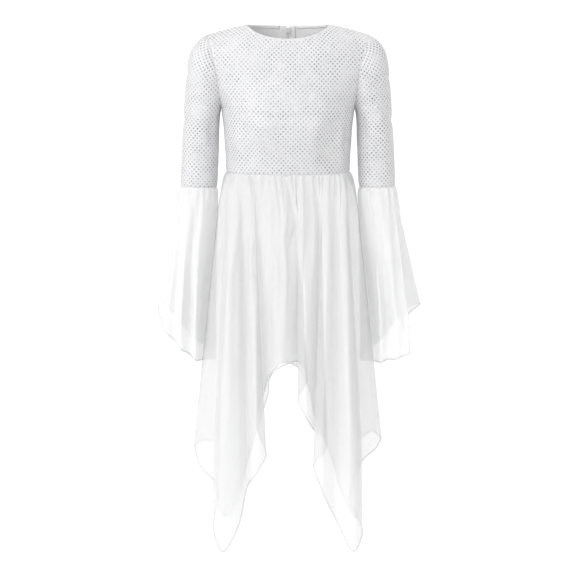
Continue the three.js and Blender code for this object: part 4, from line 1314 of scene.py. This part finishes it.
def stitches(name, path, away):
    """A row of stitches along a path on cloth, which lie in it by half their thickness."""
    run = run_of(path)
    middle = np.arange(STITCH_PITCH / 2, run[-1] - STITCH_PITCH / 2, STITCH_PITCH)
    along = unit(interpolated(middle + 0.5, run, path) - interpolated(middle - 0.5, run, path))
    up = unit(interpolated(middle, run, unit(away)))
    beside = np.cross(along, up)
    angles = np.linspace(0, 2 * np.pi, STITCH_SIDES, endpoint=False)[:, None]
    ring = STITCH_HALF * (np.cos(angles) * up[:, None] + np.sin(angles) * beside[:, None])
    centre = interpolated(middle, run, path)[:, None]
    step = along[:, None] * STITCH_LONG / 2
    rings = [centre - step + STITCH_END * ring, centre + ring, centre + step + STITCH_END * ring]
    n = STITCH_SIDES
    faces = [tuple(range(n)), tuple(range(2 * n, 3 * n))[::-1]]
    for row in (0, n):
        faces += [(row + k, row + n + k, row + n + (k + 1) % n, row + (k + 1) % n) for k in range(n)]
    return joined(name, np.concatenate(rings, axis=1), faces, SEAM_THREAD)


def neck_stitches(name, grid, start):
    """Stitches round the neckline, from a distance off the centre out to the shoulder seams."""
    x = np.abs(grid[-1, :, 0])
    part = grid[:, (x >= start) & (x <= NECK_STITCH_ENDS)]
    path = below_edge(part, np.array([NECK_STITCH_FALL]))[0]
    return stitches(name, path, outwards(part, False)[-1])


def upright_stitches(name, grid, x, outside):
    """Stitches up a back panel or tape at an x, on its outside or its inside."""
    away = outwards(grid, False)
    path = np.array([across_at(x, row, row) for row in grid])
    ways = np.array([across_at(x, row, out) for row, out in zip(grid, away)])
    if not outside:
        path, ways = path - ways, -ways
    return stitches(name, path, ways)


neck_front = neck_hem("cloth_neck_hem_front", front_grid, 0)
neck_left = neck_hem("cloth_neck_hem_back_left", back_left_grid, NECK_HEM_STARTS)
neck_right = neck_hem("cloth_neck_hem_back_right", back_right_grid, NECK_HEM_STARTS)
tape_left, tape_left_grid = tape("cloth_zip_tape_left", back_left_grid, 1)
tape_right, tape_right_grid = tape("cloth_zip_tape_right", back_right_grid, -1)
coil_left = coil("zip_coil_left", tape_left_grid, 1)
coil_right = coil("zip_coil_right", tape_right_grid, -1)
front_stitches = neck_stitches("stitches_neck_front", front_grid, 0)
back_left_stitches = neck_stitches("stitches_neck_back_left", back_left_grid, NECK_STITCH_STARTS)
back_right_stitches = neck_stitches("stitches_neck_back_right", back_right_grid, NECK_STITCH_STARTS)
beside_zip = back_left_grid[:, 0, 2] > ZIP_FOOT
zip_stitches, tape_stitches = {}, {}
for name, grid in (("left", back_left_grid), ("right", back_right_grid)):
    x = ZIP_STITCH_OUT * SIDES[name]
    zip_stitches[name] = upright_stitches(f"stitches_zip_{name}", grid[beside_zip], x, True)
for name, grid in (("left", tape_left_grid), ("right", tape_right_grid)):
    x = TAPE_STITCH_OUT * SIDES[name]
    tape_stitches[name] = upright_stitches(f"stitches_tape_{name}", grid, x, False)

# ---------------------------------------------------------------- the cloth as it was cut

# The piece, its width, length and area once flat, in metres, how it is held, what it rests on and
# the pieces on it. A tube's width is the cloth all round it.
BODICE = ("cloth_bodice_front", "cloth_bodice_back_left", "cloth_bodice_back_right")
on_front = (front_dots, neck_front, front_stitches)
on_left = (back_left_dots, neck_left, back_left_stitches, zip_stitches["left"])
on_right = (back_right_dots, neck_right, back_right_stitches, zip_stitches["right"])
SHEETS = [
    (front, 0.441, 0.386, 0.1423, "stretched", (), on_front),
    (back_left, 0.210, 0.395, 0.0689, "stretched", (), on_left),
    (back_right, 0.210, 0.395, 0.0689, "stretched", (), on_right),
    (sleeve_left, 0.301, 0.378, 0.0874, "stretched", BODICE[:2], (sleeve_left_dots,)),
    (sleeve_right, 0.301, 0.378, 0.0874, "stretched", BODICE[::2], (sleeve_right_dots,)),
    (flounce_left, 0.629, 0.433, 0.158, "gathered", (sleeve_left,), (hem_flounce_left,)),
    (flounce_right, 0.592, 0.430, 0.150, "gathered", (sleeve_right,), (hem_flounce_right,)),
    (skirt_front, 1.09, 0.90, 0.545, "gathered", BODICE, (hem_front,)),
    (skirt_back, 0.84, 0.89, 0.440, "gathered", BODICE, (hem_back,)),
    (tape_left, 0.0161, 0.336, None, "stretched", (back_left,), (coil_left, tape_stitches["left"])),
    (tape_right, 0.0161, 0.336, None, "stretched", (back_right,), (coil_right, tape_stitches["right"])),
]

# Each piece of cloth is named after the solid that it stands for.
for piece in [row[0] for row in SHEETS] + [neck_front, neck_left, neck_right]:
    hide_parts(piece.name.removeprefix("cloth_"))
